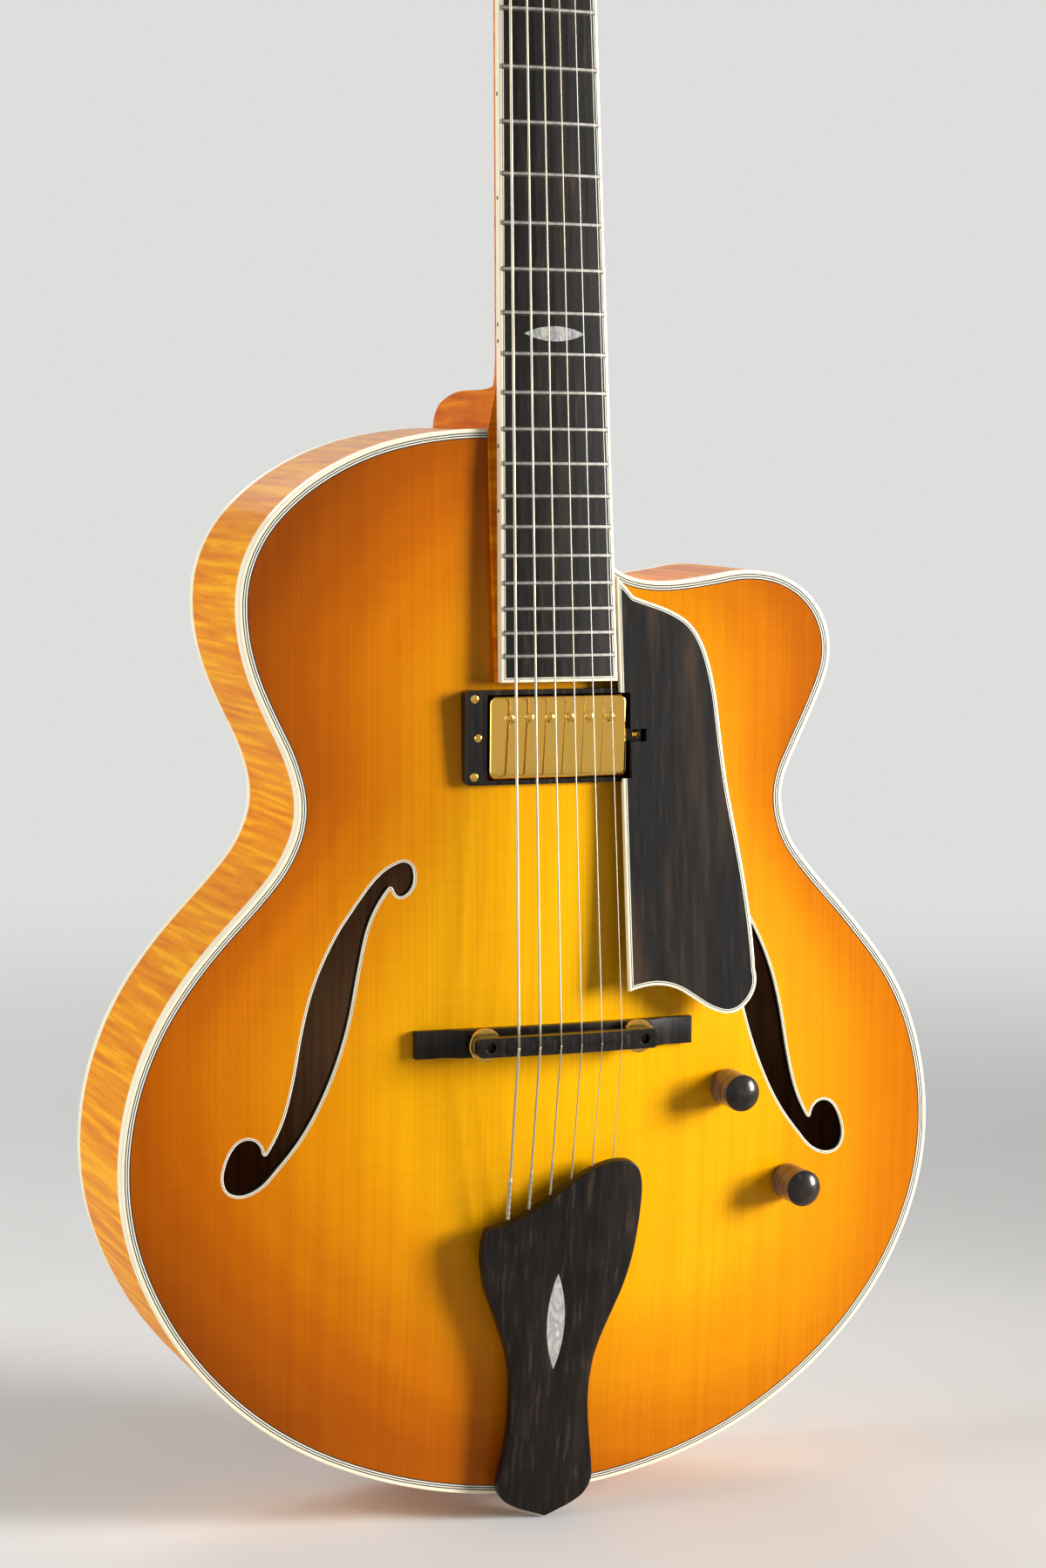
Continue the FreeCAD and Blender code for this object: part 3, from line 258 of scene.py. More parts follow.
# %% [markdown]
# The floor is a sheet of pale paper. An endless sheet would show a horizon, so this one turns clear
# with distance and lets the sky show through. It lies a hair below the lowest point of the guitar.

# %% Lay the floor
floor_level, floor_radius = solid_low.z - 0.5 * MM, 3
clear_from, clear_share = 0.45, 0.6
floor_mesh = bpy.data.meshes.new("floor")
sheet = bmesh.new()
bmesh.ops.create_circle(sheet, cap_ends=True, segments=96, radius=floor_radius)
bmesh.ops.translate(sheet, vec=(0, 0, floor_level), verts=sheet.verts)
sheet.to_mesh(floor_mesh)
sheet.free()
floor = bpy.data.objects.new("floor", floor_mesh)
scene.collection.objects.link(floor)
paper = Recipe("pale_paper", Roughness=0.9)
fibres = paper.noise((3, 3, 3))
paper.colour(paper.ramp(fibres, [(0.3, (0.70, 0.70, 0.69, 1)), (0.7, (0.73, 0.73, 0.72, 1))]))
away = paper.math("SUBTRACT", paper.long_side(*paper.axes()[:2]), clear_from)
clearness = paper.ramp(paper.math("MULTIPLY", away, clear_share, clamp=True), [(0.0, 0.0), (1.0, 1.0)])
thin_out = paper.tree.nodes.new("ShaderNodeMixShader")
clear = paper.node("ShaderNodeBsdfTransparent")
for spot, source in enumerate((clearness, paper.shader.outputs[0], clear.outputs[0])):
    paper.feed(thin_out.inputs[spot], source)
paper.feed(paper.tree.nodes["Material Output"].inputs["Surface"], thin_out.outputs[0])
floor_mesh.materials.append(paper.material)
print("floor at", round(floor_level / MM, 1), "mm")


# %% Hang the lamps
def lamp(name, place, target, size, watts, beam=math.pi):
    """A lamp aimed at a target, shining within the angle of its beam."""
    light = bpy.data.lights.new(name, "AREA")
    light.shape = "RECTANGLE"
    light.size, light.size_y = size
    light.energy = watts
    light.spread = beam
    held = bpy.data.objects.new(name, light)
    held.location = place
    held.rotation_euler = (Vector(target) - Vector(place)).to_track_quat("-Z", "Y").to_euler()
    scene.collection.objects.link(held)


lamp("key", (1.95, -1.2, 0.75), (0.05, 0, 0.33), (0.75, 1.1), 11, 0.82)
lamp("rim_light", (-2.0, 0.1, 0.8), (0, 0, 0.3), (1.0, 1.8), 34)
lamp("back", (0.4, 2.0, 1.7), (0, 0, 0.5), (1.6, 1.2), 19)
print("three lamps")

# %% [markdown]
# ## The carved top
# The top of such a guitar is spruce, split and opened like a book so that the grain mirrors itself
# at the centre line. The lacquer is sprayed golden in the middle and browner towards the rim.
# The grain is noise stretched along the strings, faint under the colour. The fade follows how near
# a place is to the edge: across, a curve of the body's half width turns x into a ratio; along, the
# neck end and the tail end give a second ratio; and the two add up as the sides of a triangle do.
# The golden middle is shifted a little to the treble side and the brown at the tail climbs higher on
# the bass side: painted light on the treble side and painted shade on the bass side. The browning at
# the neck end and at the tail end is partly the burst and partly painted shade.

# %% Spruce under a golden fade
half_widths = [(0.0, 1.0), (0.335, 1.0), (0.48, 0.90), (0.65, 0.60), (0.80, 0.71), (0.86, 0.72),
               (1.0, 0.72)]
body_length, body_half = 508 * MM, 206 * MM
# The shift of the golden middle and the lean of the tail fade are painted light and shade: lighter on
# the treble side, darker on the bass side.
painted_light_shift_x, painted_shade_lean, rim_ratio = 14 * MM, 0.3, 0.8
# The neck and tail fades are partly the real burst and partly painted shade.
neck_fade_from, neck_fade_over = 285 * MM, 220 * MM
tail_fade_from, tail_fade_over = 190 * MM, 180 * MM
inner_lean = 0.2


def edge_ratio(recipe):
    """0 in the middle of the body, about 0.8 at the rim and 1 in the far corners."""
    x, y, z = recipe.axes()
    width = recipe.ramp(recipe.math("DIVIDE", z, body_length), half_widths, "CARDINAL")
    aside = recipe.math("ABSOLUTE", recipe.math("SUBTRACT", x, painted_light_shift_x))
    across = recipe.math("DIVIDE", aside, recipe.math("MULTIPLY", width, body_half))
    past_neck = recipe.math("SUBTRACT", z, neck_fade_from)
    leaning = recipe.math("ADD", z, recipe.math("MULTIPLY", x, painted_shade_lean))
    past_tail = recipe.math("SUBTRACT", tail_fade_from, leaning)
    along = recipe.math("MAXIMUM", recipe.math("DIVIDE", past_neck, neck_fade_over, clamp=True),
                        recipe.math("DIVIDE", past_tail, tail_fade_over, clamp=True))
    return recipe.math("MULTIPLY", recipe.long_side(across, along), rim_ratio)


spruce = Recipe("golden_spruce", Coat_Weight=0.14, Coat_Roughness=0.07, Specular_IOR_Level=0.02)
# This burst holds painted shade at the neck end, at the tail end and on the bass side.
fade = spruce.ramp(edge_ratio(spruce), [
    (0.0, tone(238, 174, 4)), (0.34, tone(234, 164, 3)), (0.53, tone(220, 138, 2)),
    (0.69, tone(202, 113, 1)), (0.79, tone(182, 93, 1)), (0.88, tone(164, 80, 1)),
    (1.0, tone(140, 65, 1))])
spruce.mirrored()
fine_grain = spruce.noise((900, 40, 5), detail=2)
broad_grain = spruce.noise((150, 12, 2), detail=2)
silk = spruce.noise((60, 60, 420), detail=2)
late_wood = spruce.ramp(fine_grain, [(0.36, (0.90, 0.85, 0.74, 1)), (0.6, (1.0, 1.0, 1.0, 1))])
clouds = spruce.ramp(broad_grain, [(0.3, (0.95, 0.92, 0.86, 1)), (0.7, (1.03, 1.03, 1.0, 1))])
rays = spruce.ramp(silk, [(0.35, (0.97, 0.96, 0.92, 1)), (0.65, (1.02, 1.02, 1.0, 1))])
figured = spruce.mix(0.7, spruce.mix(0.7, fade, late_wood, "MULTIPLY"), clouds, "MULTIPLY")
lacquered = spruce.mix(0.6, figured, rays, "MULTIPLY")
bare_spruce = spruce.ramp(broad_grain, [(0.3, tone(168, 128, 84)), (0.7, tone(190, 150, 104))])
outside = spruce.math("GREATER_THAN", inner_lean, spruce.facing("Y"))
spruce.colour(spruce.mix(outside, bare_spruce, lacquered))
spruce.rough(fine_grain, 0.34, 0.46)
spruce.bump(fine_grain, 0.04, 0.2 * MM)
coat(spruce, "top_plate")
print("spruce on the top plate, bare underneath")

# %% [markdown]
# ## Flamed maple
# Rims, back and neck are maple whose fibres ripple, so bands of light and dark run across the grain.
# On the rim the bands stand across the width of the strip, on the back and neck they lie across the
# length. One recipe does both when the noise is stretched along a different axis.
# Only the outside is lacquered: through the sound holes the inside of the back shows as bare wood.

# %% Maple for the rim, the back and the neck
def flamed_maple(name, band, ripple, dark, middle, light):
    """Maple, and its colour; band and ripple stretch the flame and the pores."""
    recipe = Recipe(name, Coat_Weight=0.06, Coat_Roughness=0.08, Specular_IOR_Level=0.02)
    recipe.mirrored()
    flame = recipe.noise(band, detail=3, distortion=0.25)
    pores = recipe.noise(ripple, detail=2)
    amber = recipe.ramp(flame, [(0.32, dark), (0.48, middle), (0.62, light)])
    fibre = recipe.ramp(pores, [(0.35, (0.90, 0.84, 0.74, 1)), (0.65, (1, 1, 1, 1))])
    lacquer = recipe.mix(0.6, amber, fibre, "MULTIPLY")
    recipe.colour(lacquer)
    recipe.rough(flame, 0.32, 0.44)
    recipe.bump(pores, 0.03, 0.2 * MM)
    return recipe, lacquer


rim_maple = flamed_maple("flamed_rim", (260, 11, 260), (60, 700, 60), tone(216, 122, 2),
                         tone(232, 144, 3), tone(246, 172, 8))[0]
neck_maple = flamed_maple("flamed_neck", (14, 14, 210), (500, 160, 8), tone(192, 92, 2),
                          tone(210, 110, 3), tone(228, 134, 8))[0]
back_maple, back_lacquer = flamed_maple("flamed_back", (9, 9, 190), (500, 160, 8), tone(202, 110, 2),
                                        tone(222, 136, 3), tone(240, 162, 8))
inner_face = back_maple.math("LESS_THAN", back_maple.facing("Y"), -inner_lean)
bare_maple = back_maple.ramp(back_maple.noise((300, 60, 12)),
                             [(0.3, tone(188, 138, 96)), (0.7, tone(212, 164, 118))])
back_maple.colour(back_maple.mix(inner_face, back_lacquer, bare_maple))
coat(rim_maple, "bass_rib", "treble_rib")
coat(back_maple, "back_plate")
coat(neck_maple, "neck")
print("maple on the rim, the back and the neck")

# %% [markdown]
# ## Wood that nobody polishes
# Inside the body are blocks, linings and bars of bare spruce and mahogany. They show only as brown
# shade through the sound holes, so a plain dull wood with grain is enough.

# %% Bare inner wood
inner_wood = Recipe("bare_inner_wood")
rings = inner_wood.noise((300, 60, 12), detail=2)
inner_wood.colour(inner_wood.ramp(rings, [(0.3, tone(172, 126, 86)), (0.7, tone(204, 158, 112))]))
inner_wood.rough(rings, 0.6, 0.8)
inner_wood.bump(rings, 0.15, 0.3 * MM)
coat(inner_wood, "neck_block", "end_block", "linings", "tone_bars")
print("wood inside;", len(finished), "of", len(nodes), "solids finished")

# %% [markdown]
# ## Ebony
# Fingerboard, bridge, tailpiece, guard, knobs and pickup ring are all cut from ebony: nearly black,
# with fine brown streaks along the grain and a rubbed shine. The streaks are long noise; the shine
# differs, so a helper makes a dull one for the board and a polished one for the loose pieces.
# The knobs are lighter and browner on their sides than on their ends: a painted sheen of their glossy
# sides.

# %% Ebony, rubbed and polished
def ebony(name, gloss, streak, grain=(420, 420, 9), **constants):
    """Ebony, and its colour; the streak is the share of brown."""
    recipe = Recipe(name, Specular_IOR_Level=0.15, **constants)
    long_grain = recipe.noise(grain, detail=4, roughness=0.6)
    wide_grain = recipe.noise(tuple(0.22 * stretch for stretch in grain), detail=2)
    black = recipe.ramp(long_grain, [(0.36, tone(12, 10, 8)), (0.55, tone(24, 20, 17)),
                                     (0.72, tone(58, 46, 35))])
    brown = recipe.ramp(wide_grain, [(0.45, tone(18, 16, 14)), (0.75, tone(78, 58, 42))])
    wood = recipe.mix(streak, black, brown)
    recipe.colour(wood)
    recipe.rough(long_grain, gloss, gloss + 0.14)
    recipe.bump(long_grain, 0.05, 0.15 * MM)
    return recipe, wood


board_ebony = ebony("board_ebony", 0.40, 0.2)[0]
guard_ebony = ebony("guard_ebony", 0.3, 0.55, Coat_Weight=0.12, Coat_Roughness=0.1)[0]
polished_ebony = ebony("polished_ebony", 0.26, 0.1, Coat_Weight=0.06, Coat_Roughness=0.1)[0]
glossy_ebony = ebony("glossy_ebony", 0.16, 0.05, Coat_Weight=0.3, Coat_Roughness=0.05)[0]
turned_ebony, knob_top_wood = ebony("turned_ebony", 0.24, 0.3, (300, 40, 300), Coat_Weight=0.4,
                                Coat_Roughness=0.1)
# The sides of the knobs get a lighter brown-grey: a painted sheen, not a different wood.
painted_side_sheen = turned_ebony.ramp(turned_ebony.noise((90, 900, 90), detail=3),
                               [(0.3, tone(88, 68, 60)), (0.7, tone(136, 112, 102))])
crown = turned_ebony.math("LESS_THAN", turned_ebony.facing("Y"), -0.45)
turned_ebony.colour(turned_ebony.mix(crown, painted_side_sheen, knob_top_wood))
coat(board_ebony, "fingerboard", "headstock_veneer")
coat(guard_ebony, "pickguard")
coat(polished_ebony, "truss_rod_cover", "tailpiece", "bridge_base")
coat(glossy_ebony, "bridge_saddle", "pickup_ring")
coat(turned_ebony, "volume_knob", "tone_knob")
print("five kinds of ebony;", len(finished), "of", len(nodes), "solids finished")

# %% [markdown]
# ## Metal
# The fittings are gold plated, the frets nickel silver, the strings steel. Bare metal is simple to
# shade, but a perfect mirror looks false, so a faint haze and hairline scratches vary the roughness.

# %% Gold, nickel silver and steel
def dimmed(colour, *shares):
    return tuple(level * share for level, share in zip(colour, shares)) + (1,)


def metal(name, colour, gloss, haze=0.08, scratch=0.02):
    recipe = Recipe(name, Metallic=1.0)
    wear = recipe.noise((70, 70, 70), detail=4)
    hairlines = recipe.noise((2500, 2500, 120), detail=1)
    recipe.colour(recipe.mix(wear, dimmed(colour, 0.93, 0.93, 0.93), colour))
    recipe.rough(wear, gloss, gloss + haze)
    recipe.bump(hairlines, scratch, 0.04 * MM)
    return recipe


string_numbers = range(1, 7)
gold = metal("gold_plate", tone(226, 178, 84), 0.04, 0.06, 0.003)
fret_wire = metal("nickel_silver", tone(158, 154, 146), 0.32)
steel = metal("bright_steel", tone(205, 205, 205), 0.22)
post_tone = tone(234, 188, 94)
post_metal = metal("bridge_post", post_tone, 0.1)
post_end = post_metal.math("LESS_THAN", post_metal.facing("Y"), -0.8)
post_metal.colour(post_metal.mix(post_end, post_tone, tone(44, 38, 30)))
coat(gold, "tuner_housings", "tailpiece_hinge", "end_pin_jack", "pickup_cover", "pole_screws",
     "height_screw_bass", "height_screw_treble", "pickguard_standoffs", "thumbwheel_bass",
     "thumbwheel_treble")
for number in string_numbers:
    coat(gold, f"tuner_post_{number}", f"tuner_button_{number}")
coat(fret_wire, "frets")
coat(post_metal, "bridge_posts")
coat(steel, "truss_rod", "pickup_baseplate", "potentiometers", "wound_strings", "plain_strings")
print("four kinds of metal;", len(finished), "of", len(nodes), "solids finished")

# %% [markdown]
# ## Pearl, bone and black plastic
# Two inlays of shell, a bone nut and the coil formers under the pickup cover. Shell shimmers because
# its layers bend light, and a noise that drifts between cool grey and white gives that cheaply.

# %% Shell, bone and coil formers
pearl = Recipe("shell_inlay", Coat_Weight=0.6, Coat_Roughness=0.08, Roughness=0.3)
shimmer = pearl.noise((160, 160, 60), detail=3, distortion=1.5)
pearl.colour(pearl.ramp(shimmer, [(0.3, tone(112, 122, 120)), (0.45, tone(180, 178, 168)),
                                  (0.55, tone(146, 144, 146)), (0.7, tone(204, 204, 198))]))
pearl.bump(shimmer, 0.05, 0.2 * MM)
bone = Recipe("bone_nut")
flecks = bone.noise((400, 400, 400), detail=3)
bone.colour(bone.ramp(flecks, [(0.3, tone(226, 216, 192)), (0.7, tone(244, 238, 222))]))
bone.rough(flecks, 0.3, 0.45)
plastic = Recipe("coil_former")
mould = plastic.noise((500, 500, 500), detail=2)
plastic.colour(plastic.ramp(mould, [(0.3, tone(22, 22, 22)), (0.7, tone(34, 33, 32))]))
plastic.rough(mould, 0.4, 0.5)
coat(pearl, "fingerboard_inlay", "tailpiece_inlay")
coat(bone, "nut")
coat(plastic, "pickup_bobbins")
print("still without a finish:", sorted(set(nodes) - finished))

# %% [markdown]
# ## Working copies
# Some pieces need a finer shape than their solids carry. For those a copy of the solid's mesh is
# taken, its seams are closed, and the new shape stands for the old one. Shading is smooth except
# over edges that really are sharp.

# %% Copies, shading and placing
def welded(node):
    """A working copy of a solid's mesh, with the seams of its facets closed."""
    work = bmesh.new()
    work.from_mesh(nodes[node].data)
    bmesh.ops.remove_doubles(work, verts=work.verts, dist=0.002 * MM)
    for parts in (work.verts, work.edges, work.faces):
        parts.index_update()
    return work


sharp_edge = 0.6


def shade(work, crease=sharp_edge):
    """Smooth shading, except over edges sharper than the crease."""
    for face in work.faces:
        face.smooth = True
    for edge in work.edges:
        edge.smooth = edge.is_manifold and edge.calc_face_angle(math.pi) < crease


def outward(work):
    """Turns the faces of a closed shape to the outside."""
    bmesh.ops.recalc_face_normals(work, faces=work.faces)


def as_object(name, work, recipes):
    mesh = bpy.data.meshes.new(name)
    work.to_mesh(mesh)
    work.free()
    for recipe in recipes:
        mesh.materials.append(recipe.material)
    made = bpy.data.objects.new(name, mesh)
    scene.collection.objects.link(made)
    return made


def as_piece(name, work, recipes, body, slot, *stands_for):
    """A piece that moves with a body and may stand for solids."""
    piece = as_object(name, work, recipes)
    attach(piece, body)
    if stands_for:
        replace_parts(piece, *stands_for)


def skin_of(node):
    """The surface of a solid, ready to be asked where a ray meets it."""
    work = welded(node)
    skin = BVHTree.FromBMesh(work)
    work.free()
    return skin


print("copies can be taken; the top plate has", len(nodes["top_plate"].data.polygons), "facets")

# %% [markdown]
# ## Edges with inlaid lines
# Cream binding protects every edge, and beside it the maker inlays thin black and white lines.
# A colour ramp across the solid strip would do it, but lines that thin go ragged on long facets.
# So each strip is drawn again: its outer edge is read as a closed run of corners, curved between
# them, and a section of bands is carried round it. Each band is as wide as the real line.

# %% Read and curve the edge of a strip
facing_share, shortest_step, touching, sharp_turn = 0.6, 0.15 * MM, 0.12 * MM, 0.5


def face_runs(work, towards):
    """Closed runs of corners round the face of a strip that looks forwards, -1, or backwards, 1."""
    ahead = [face.normal.y * towards > facing_share for face in work.faces]
    rim = {edge.index: edge for edge in work.edges
           if len({ahead[face.index] for face in edge.link_faces}) == 2}
    runs = []
    while rim:
        edge = rim.pop(min(rim))
        first, tip = edge.verts
        run = [first.co.copy()]
        while tip is not first:
            if (tip.co - run[-1]).length > shortest_step:
                run.append(tip.co.copy())
            edge = next(other for other in tip.link_edges if other.index in rim)
            del rim[edge.index]
            tip = edge.other_vert(tip)
        runs.append(run)
    return runs


def free_runs(work, neighbour, towards):
    """The runs, or stretches of runs, that lie away from a neighbour; and whether each closes."""
    beside = skin_of(neighbour)
    found = []
    for run in face_runs(work, towards):
        free = [beside.find_nearest(place, touching)[0] is None for place in run]
        if all(free):
            found.append((run, True))
        elif any(free):
            start = next(spot for spot in range(len(run)) if free[spot] and not free[spot - 1])
            run, free = run[start:] + run[:start], free[start:] + free[:start]
            found.append((run[:free.index(False)], False))
    return found


def steps_at(places, spot, closed):
    """The steps into and out of a place; at an open end both are the same step."""
    ahead = (spot + 1) % len(places)
    back, onward = places[spot] - places[spot - 1], places[ahead] - places[spot]
    if not closed and spot == 0:
        back = onward
    if not closed and ahead == 0:
        onward = back
    return back, onward


def curved(run, spacing, closed):
    """The same run, curved between its corners and divided evenly."""
    ways = []
    for spot in range(len(run)):
        back, onward = steps_at(run, spot, closed)
        if back.angle(onward) > sharp_turn:
            ways.append((back.normalized(), onward.normalized()))
        else:
            way = (back.normalized() * onward.length + onward.normalized() * back.length).normalized()
            ways.append((way, way))
    places = []
    for spot in range(len(run) if closed else len(run) - 1):
        beyond = (spot + 1) % len(run)
        place, other = run[spot], run[beyond]
        reach = (other - place).length / 3
        bends = place + ways[spot][1] * reach, other - ways[beyond][0] * reach
        places += interpolate_bezier(place, *bends, other, max(2, round(3 * reach / spacing) + 1))[:-1]
    return places if closed else places + [run[-1]]


def sideways(places, closed):
    """At each place of a run, the mitred way to its left as seen from the back."""
    ways = []
    for spot in range(len(places)):
        steps = steps_at(places, spot, closed)
        first, second = (Vector((-step.z, 0, step.x)).normalized() for step in steps)
        ways.append((first + second) / max(1 + first.dot(second), 0.5))
    return ways


sample = welded("top_binding")
lengths = [len(run) for run, closed in free_runs(sample, "top_plate", -1)]
sample.free()
print("the front edge has free runs of", lengths, "corners")

# %% [markdown]
# The section starts at the foot of the outer wall, goes round a softened edge, crosses the front in
# bands and returns down the inner wall. Heights come from the solid itself: a ray from the front
# finds the face, a ray from behind finds the foot, so one helper serves flat and arched strips.

# %% Three kinds of celluloid and a section
CREAM, BLACK, WHITE = range(3)


def celluloid(name, colour):
    """Old celluloid, which yellows a little in clouds."""
    recipe = Recipe(name, Coat_Weight=0.4, Coat_Roughness=0.08, Specular_IOR_Level=0.3)
    aged = recipe.noise((90, 90, 90), detail=3)
    recipe.colour(recipe.mix(aged, dimmed(colour, 0.92, 0.92, 0.84), colour))
    recipe.rough(aged, 0.28, 0.4)
    recipe.bump(aged, 0.02, 0.2 * MM)
    return recipe


def section(bands, soft, lip, foot):
    """Corners of a section: ways in, drops below the face (None at the foot), and colours between."""
    offsets = [0, 0, 0, 0.3 * soft, soft] + list(accumulate(width for width, colour in bands))
    offsets.append(offsets[-1])
    drops = [None, lip, soft, 0.3 * soft] + [0] * (len(bands) + 1) + [None]
    colours = [foot] + [CREAM] * 3 + [colour for width, colour in bands] + [bands[-1][1], foot]
    return offsets, drops, colours


strip_finishes = [celluloid("cream_binding", tone(250, 240, 212)),
                  celluloid("black_line", tone(24, 21, 19)),
                  celluloid("white_line", tone(242, 236, 220))]
rim_bands = [(1.75 * MM, CREAM)]
rim_bands += [(0.55 * MM, colour) for colour in (BLACK, WHITE, BLACK, WHITE, BLACK)]
print("the rim's strip is", round(sum(width for width, colour in rim_bands) / MM, 2), "mm wide")

# %% Carry the bands round
ray_start = 0.3


def level_at(skin, place, middle, side):
    """How far forward a strip's surface lies, met from the front, -1, or from behind, 1."""
    for spot in (place, middle):
        hit = skin.ray_cast(Vector((spot.x, ray_start * side, spot.z)), Vector((0, -side, 0)))[0]
        if hit:
            return hit.y
    return skin.find_nearest(middle)[0].y


def bridged(work, rings, closed=False):
    """The faces between rings of corners; a closed row joins its ends."""
    faces = []
    for ring, onward in zip(rings, rings[1:] + (rings[:1] if closed else [])):
        for spot in range(len(ring)):
            beyond = (spot + 1) % len(ring)
            faces.append(work.faces.new((ring[spot], ring[beyond], onward[beyond], onward[spot])))
    return faces


def lined_edge(name, node, neighbour, bands, spacing, soft, lip=2 * MM, foot=CREAM, towards=-1):
    """A strip of bands, from the free edge of a solid strip to the edge beside its neighbour."""
    work = welded(node)
    skin = BVHTree.FromBMesh(work)
    runs = free_runs(work, neighbour, towards)
    work.free()
    offsets, drops, colours = section(bands, soft, lip, foot)
    width = offsets[-1]
    inset = 0.25 * width
    made = bmesh.new()
    for run, closed in runs:
        places = curved(run, spacing, closed)
        ways = sideways(places, closed)
        gaps = [skin.find_nearest(place + way * 0.5 * width)[3] for place, way in zip(places, ways)]
        if sum(gap < 0.2 * MM for gap in gaps) <= len(places) / 2:
            ways = [-way for way in ways]
        rings = []
        for place, way in zip(places, ways):
            middle = place + way * width / 2
            ring = []
            for offset, drop in zip(offsets, drops):
                spot = place + way * offset
                within = place + way * min(max(offset, inset), width - inset)
                level = (level_at(skin, within, middle, -towards) if drop is None
                         else level_at(skin, within, middle, towards) - towards * drop)
                ring.append(made.verts.new((spot.x, level, spot.z)))
            rings.append(ring)
        for number, face in enumerate(bridged(made, rings, closed)):
            face.material_index = colours[number % len(colours)]
        if not closed:
            made.faces.new(rings[0])
            made.faces.new(rings[-1])
    outward(made)
    shade(made)
    print(name, "has", len(made.faces), "faces round", len(runs), "runs")
    as_piece(name, made, strip_finishes, "guitar", "binding", node)


lined_edge("front_edge", "top_binding", "top_plate", rim_bands, 3 * MM, 0.4 * MM)
lined_edge("back_edge", "back_binding", "back_plate", rim_bands, 3 * MM, 0.4 * MM, towards=1)
# The foot of each sound hole's wall is black: painted shade down the wall of the hole.
lined_edge("sound_hole_edges", "f_hole_bindings", "top_plate",
           [(0.5 * MM, CREAM), (0.3 * MM, BLACK), (0.4 * MM, WHITE)],
           1.5 * MM, 0.12 * MM, 1.2 * MM, BLACK)
lined_edge("guard_edge", "pickguard_binding", "pickguard",
           [(1.2 * MM, CREAM), (0.4 * MM, BLACK), (0.4 * MM, WHITE)], 2 * MM, 0.3 * MM, 1.5 * MM)
lined_edge("board_edge", "fingerboard_binding", "fingerboard",
           [(1.4 * MM, CREAM), (0.35 * MM, BLACK), (0.45 * MM, WHITE)], 6 * MM, 0.25 * MM)

# %% [markdown]
# ## Eased edges
# Nothing on a played guitar has a knife edge: the maker breaks every corner with a file and rubs it
# out, and that thin highlight is what makes black wood read as solid. A bevel modifier could do it
# on the solids, but their facets would spoil the bevel, so flat facets are merged first on a copy.

# %% Break the corners of the loose pieces
def eased(node, width, recipe, slot, body="guitar"):
    """The same shape as a solid, its sharp edges rounded."""
    work = welded(node)
    bmesh.ops.dissolve_limit(work, angle_limit=0.03, verts=work.verts, edges=work.edges)
    corners = [edge for edge in work.edges if edge.is_manifold and edge.calc_face_angle() > sharp_edge]
    bmesh.ops.bevel(work, geom=corners, offset=width, offset_type="OFFSET", segments=3, profile=0.5,
                    affect="EDGES", clamp_overlap=True)
    bmesh.ops.triangulate(work, faces=[face for face in work.faces if len(face.verts) > 4])
    shade(work)
    print(node, "eased along", len(corners), "edges,", len(work.faces), "faces")
    as_piece(node + "_eased", work, [recipe], body, slot, node)


eased("tailpiece", 1.6 * MM, polished_ebony, "ebony")
eased("pickup_ring", 0.7 * MM, glossy_ebony, "ebony")
eased("bridge_base", 0.5 * MM, polished_ebony, "ebony")
eased("bridge_saddle", 1.4 * MM, glossy_ebony, "ebony", "saddle")
eased("nut", 0.3 * MM, bone, "bone")
eased("truss_rod_cover", 0.5 * MM, polished_ebony, "ebony")
eased("tuner_housings", 0.8 * MM, gold, "gold")
for number in string_numbers:
    eased(f"tuner_button_{number}", 0.9 * MM, gold, "gold", f"button_{number}")

# %% [markdown]
# ## The pickup's case
# The gold case is pressed from one sheet, so its front edge and its corners are round and catch the
# light as a bright bead. A bevel would have to work on facets that are already curved, so the case is
# drawn afresh: one rounded outline, repeated in steps that go over the edge and back to the foot.

# %% Press the case
def rounded_outline(half_x, half_z, radius, steps=8):
    """Corners of an upright rectangle with round corners, as pairs of x and z about its middle."""
    outline = []
    for quarter, (side_x, side_z) in enumerate(((1, 1), (-1, 1), (-1, -1), (1, -1))):
        for step in range(steps + 1):
            angle = (quarter + step / steps) * math.pi / 2
            outline.append((side_x * (half_x - radius) + radius * math.cos(angle),
                            side_z * (half_z - radius) + radius * math.sin(angle)))
    return outline


low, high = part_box("pickup_cover")
middle, half = (low + high) / 2, (high - low) / 2
corner, bead, bead_steps = 3.4 * MM, 2.2 * MM, 6
angles = [math.pi / 2 * step / bead_steps for step in range(bead_steps + 1)]
levels = [(bead * (1 - math.sin(angle)), low.y + bead * (1 - math.cos(angle))) for angle in angles]
case = bmesh.new()
rings = []
for inset, level in levels + [(0, high.y)]:
    outline = rounded_outline(half.x - inset, half.z - inset, corner - inset)
    rings.append([case.verts.new((middle.x + x, level, middle.z + z)) for x, z in outline])
bridged(case, rings)
case.faces.new(rings[0])
case.faces.new(rings[-1])
outward(case)
shade(case)
as_piece("pickup_case", case, [gold], "pickup", "gold", "pickup_cover")
print("case of", [round(x / MM, 1) for x in high - low], "mm")

# %% [markdown]
# ## Turned pieces and screws
# Screws, wheels and rings are lathe work: a profile of radius and height is spun about an axis.
# A modifier can spin a curve, yet a short loop gives the same rings and can ripple them, which is
# how the knurled rim of a thumbwheel is made.

# %% A small lathe
out = Vector((0, -1, 0))
thumb_profile = [(2.15, 0.0), (7.6, 0.0), (8.0, 0.35), (8.0, 2.25), (7.6, 2.6), (2.15, 2.6)]
thumb_width, knurls, knurl_depth = 16, 48, 0.22 * MM


def scaled(profile, unit=MM):
    return [(radius * unit, height * unit) for radius, height in profile]


def on_axis(low, high, y):
    """A place on the axis of a piece that points forwards."""
    return Vector(((low.x + high.x) / 2, y, (low.z + high.z) / 2))


def circle(work, place, axis, across, radii):
    other = axis.cross(across)
    turns = [2 * math.pi * side / len(radii) for side in range(len(radii))]
    return [work.verts.new(place + radius * (math.cos(turn) * across + math.sin(turn) * other))
            for radius, turn in zip(radii, turns)]


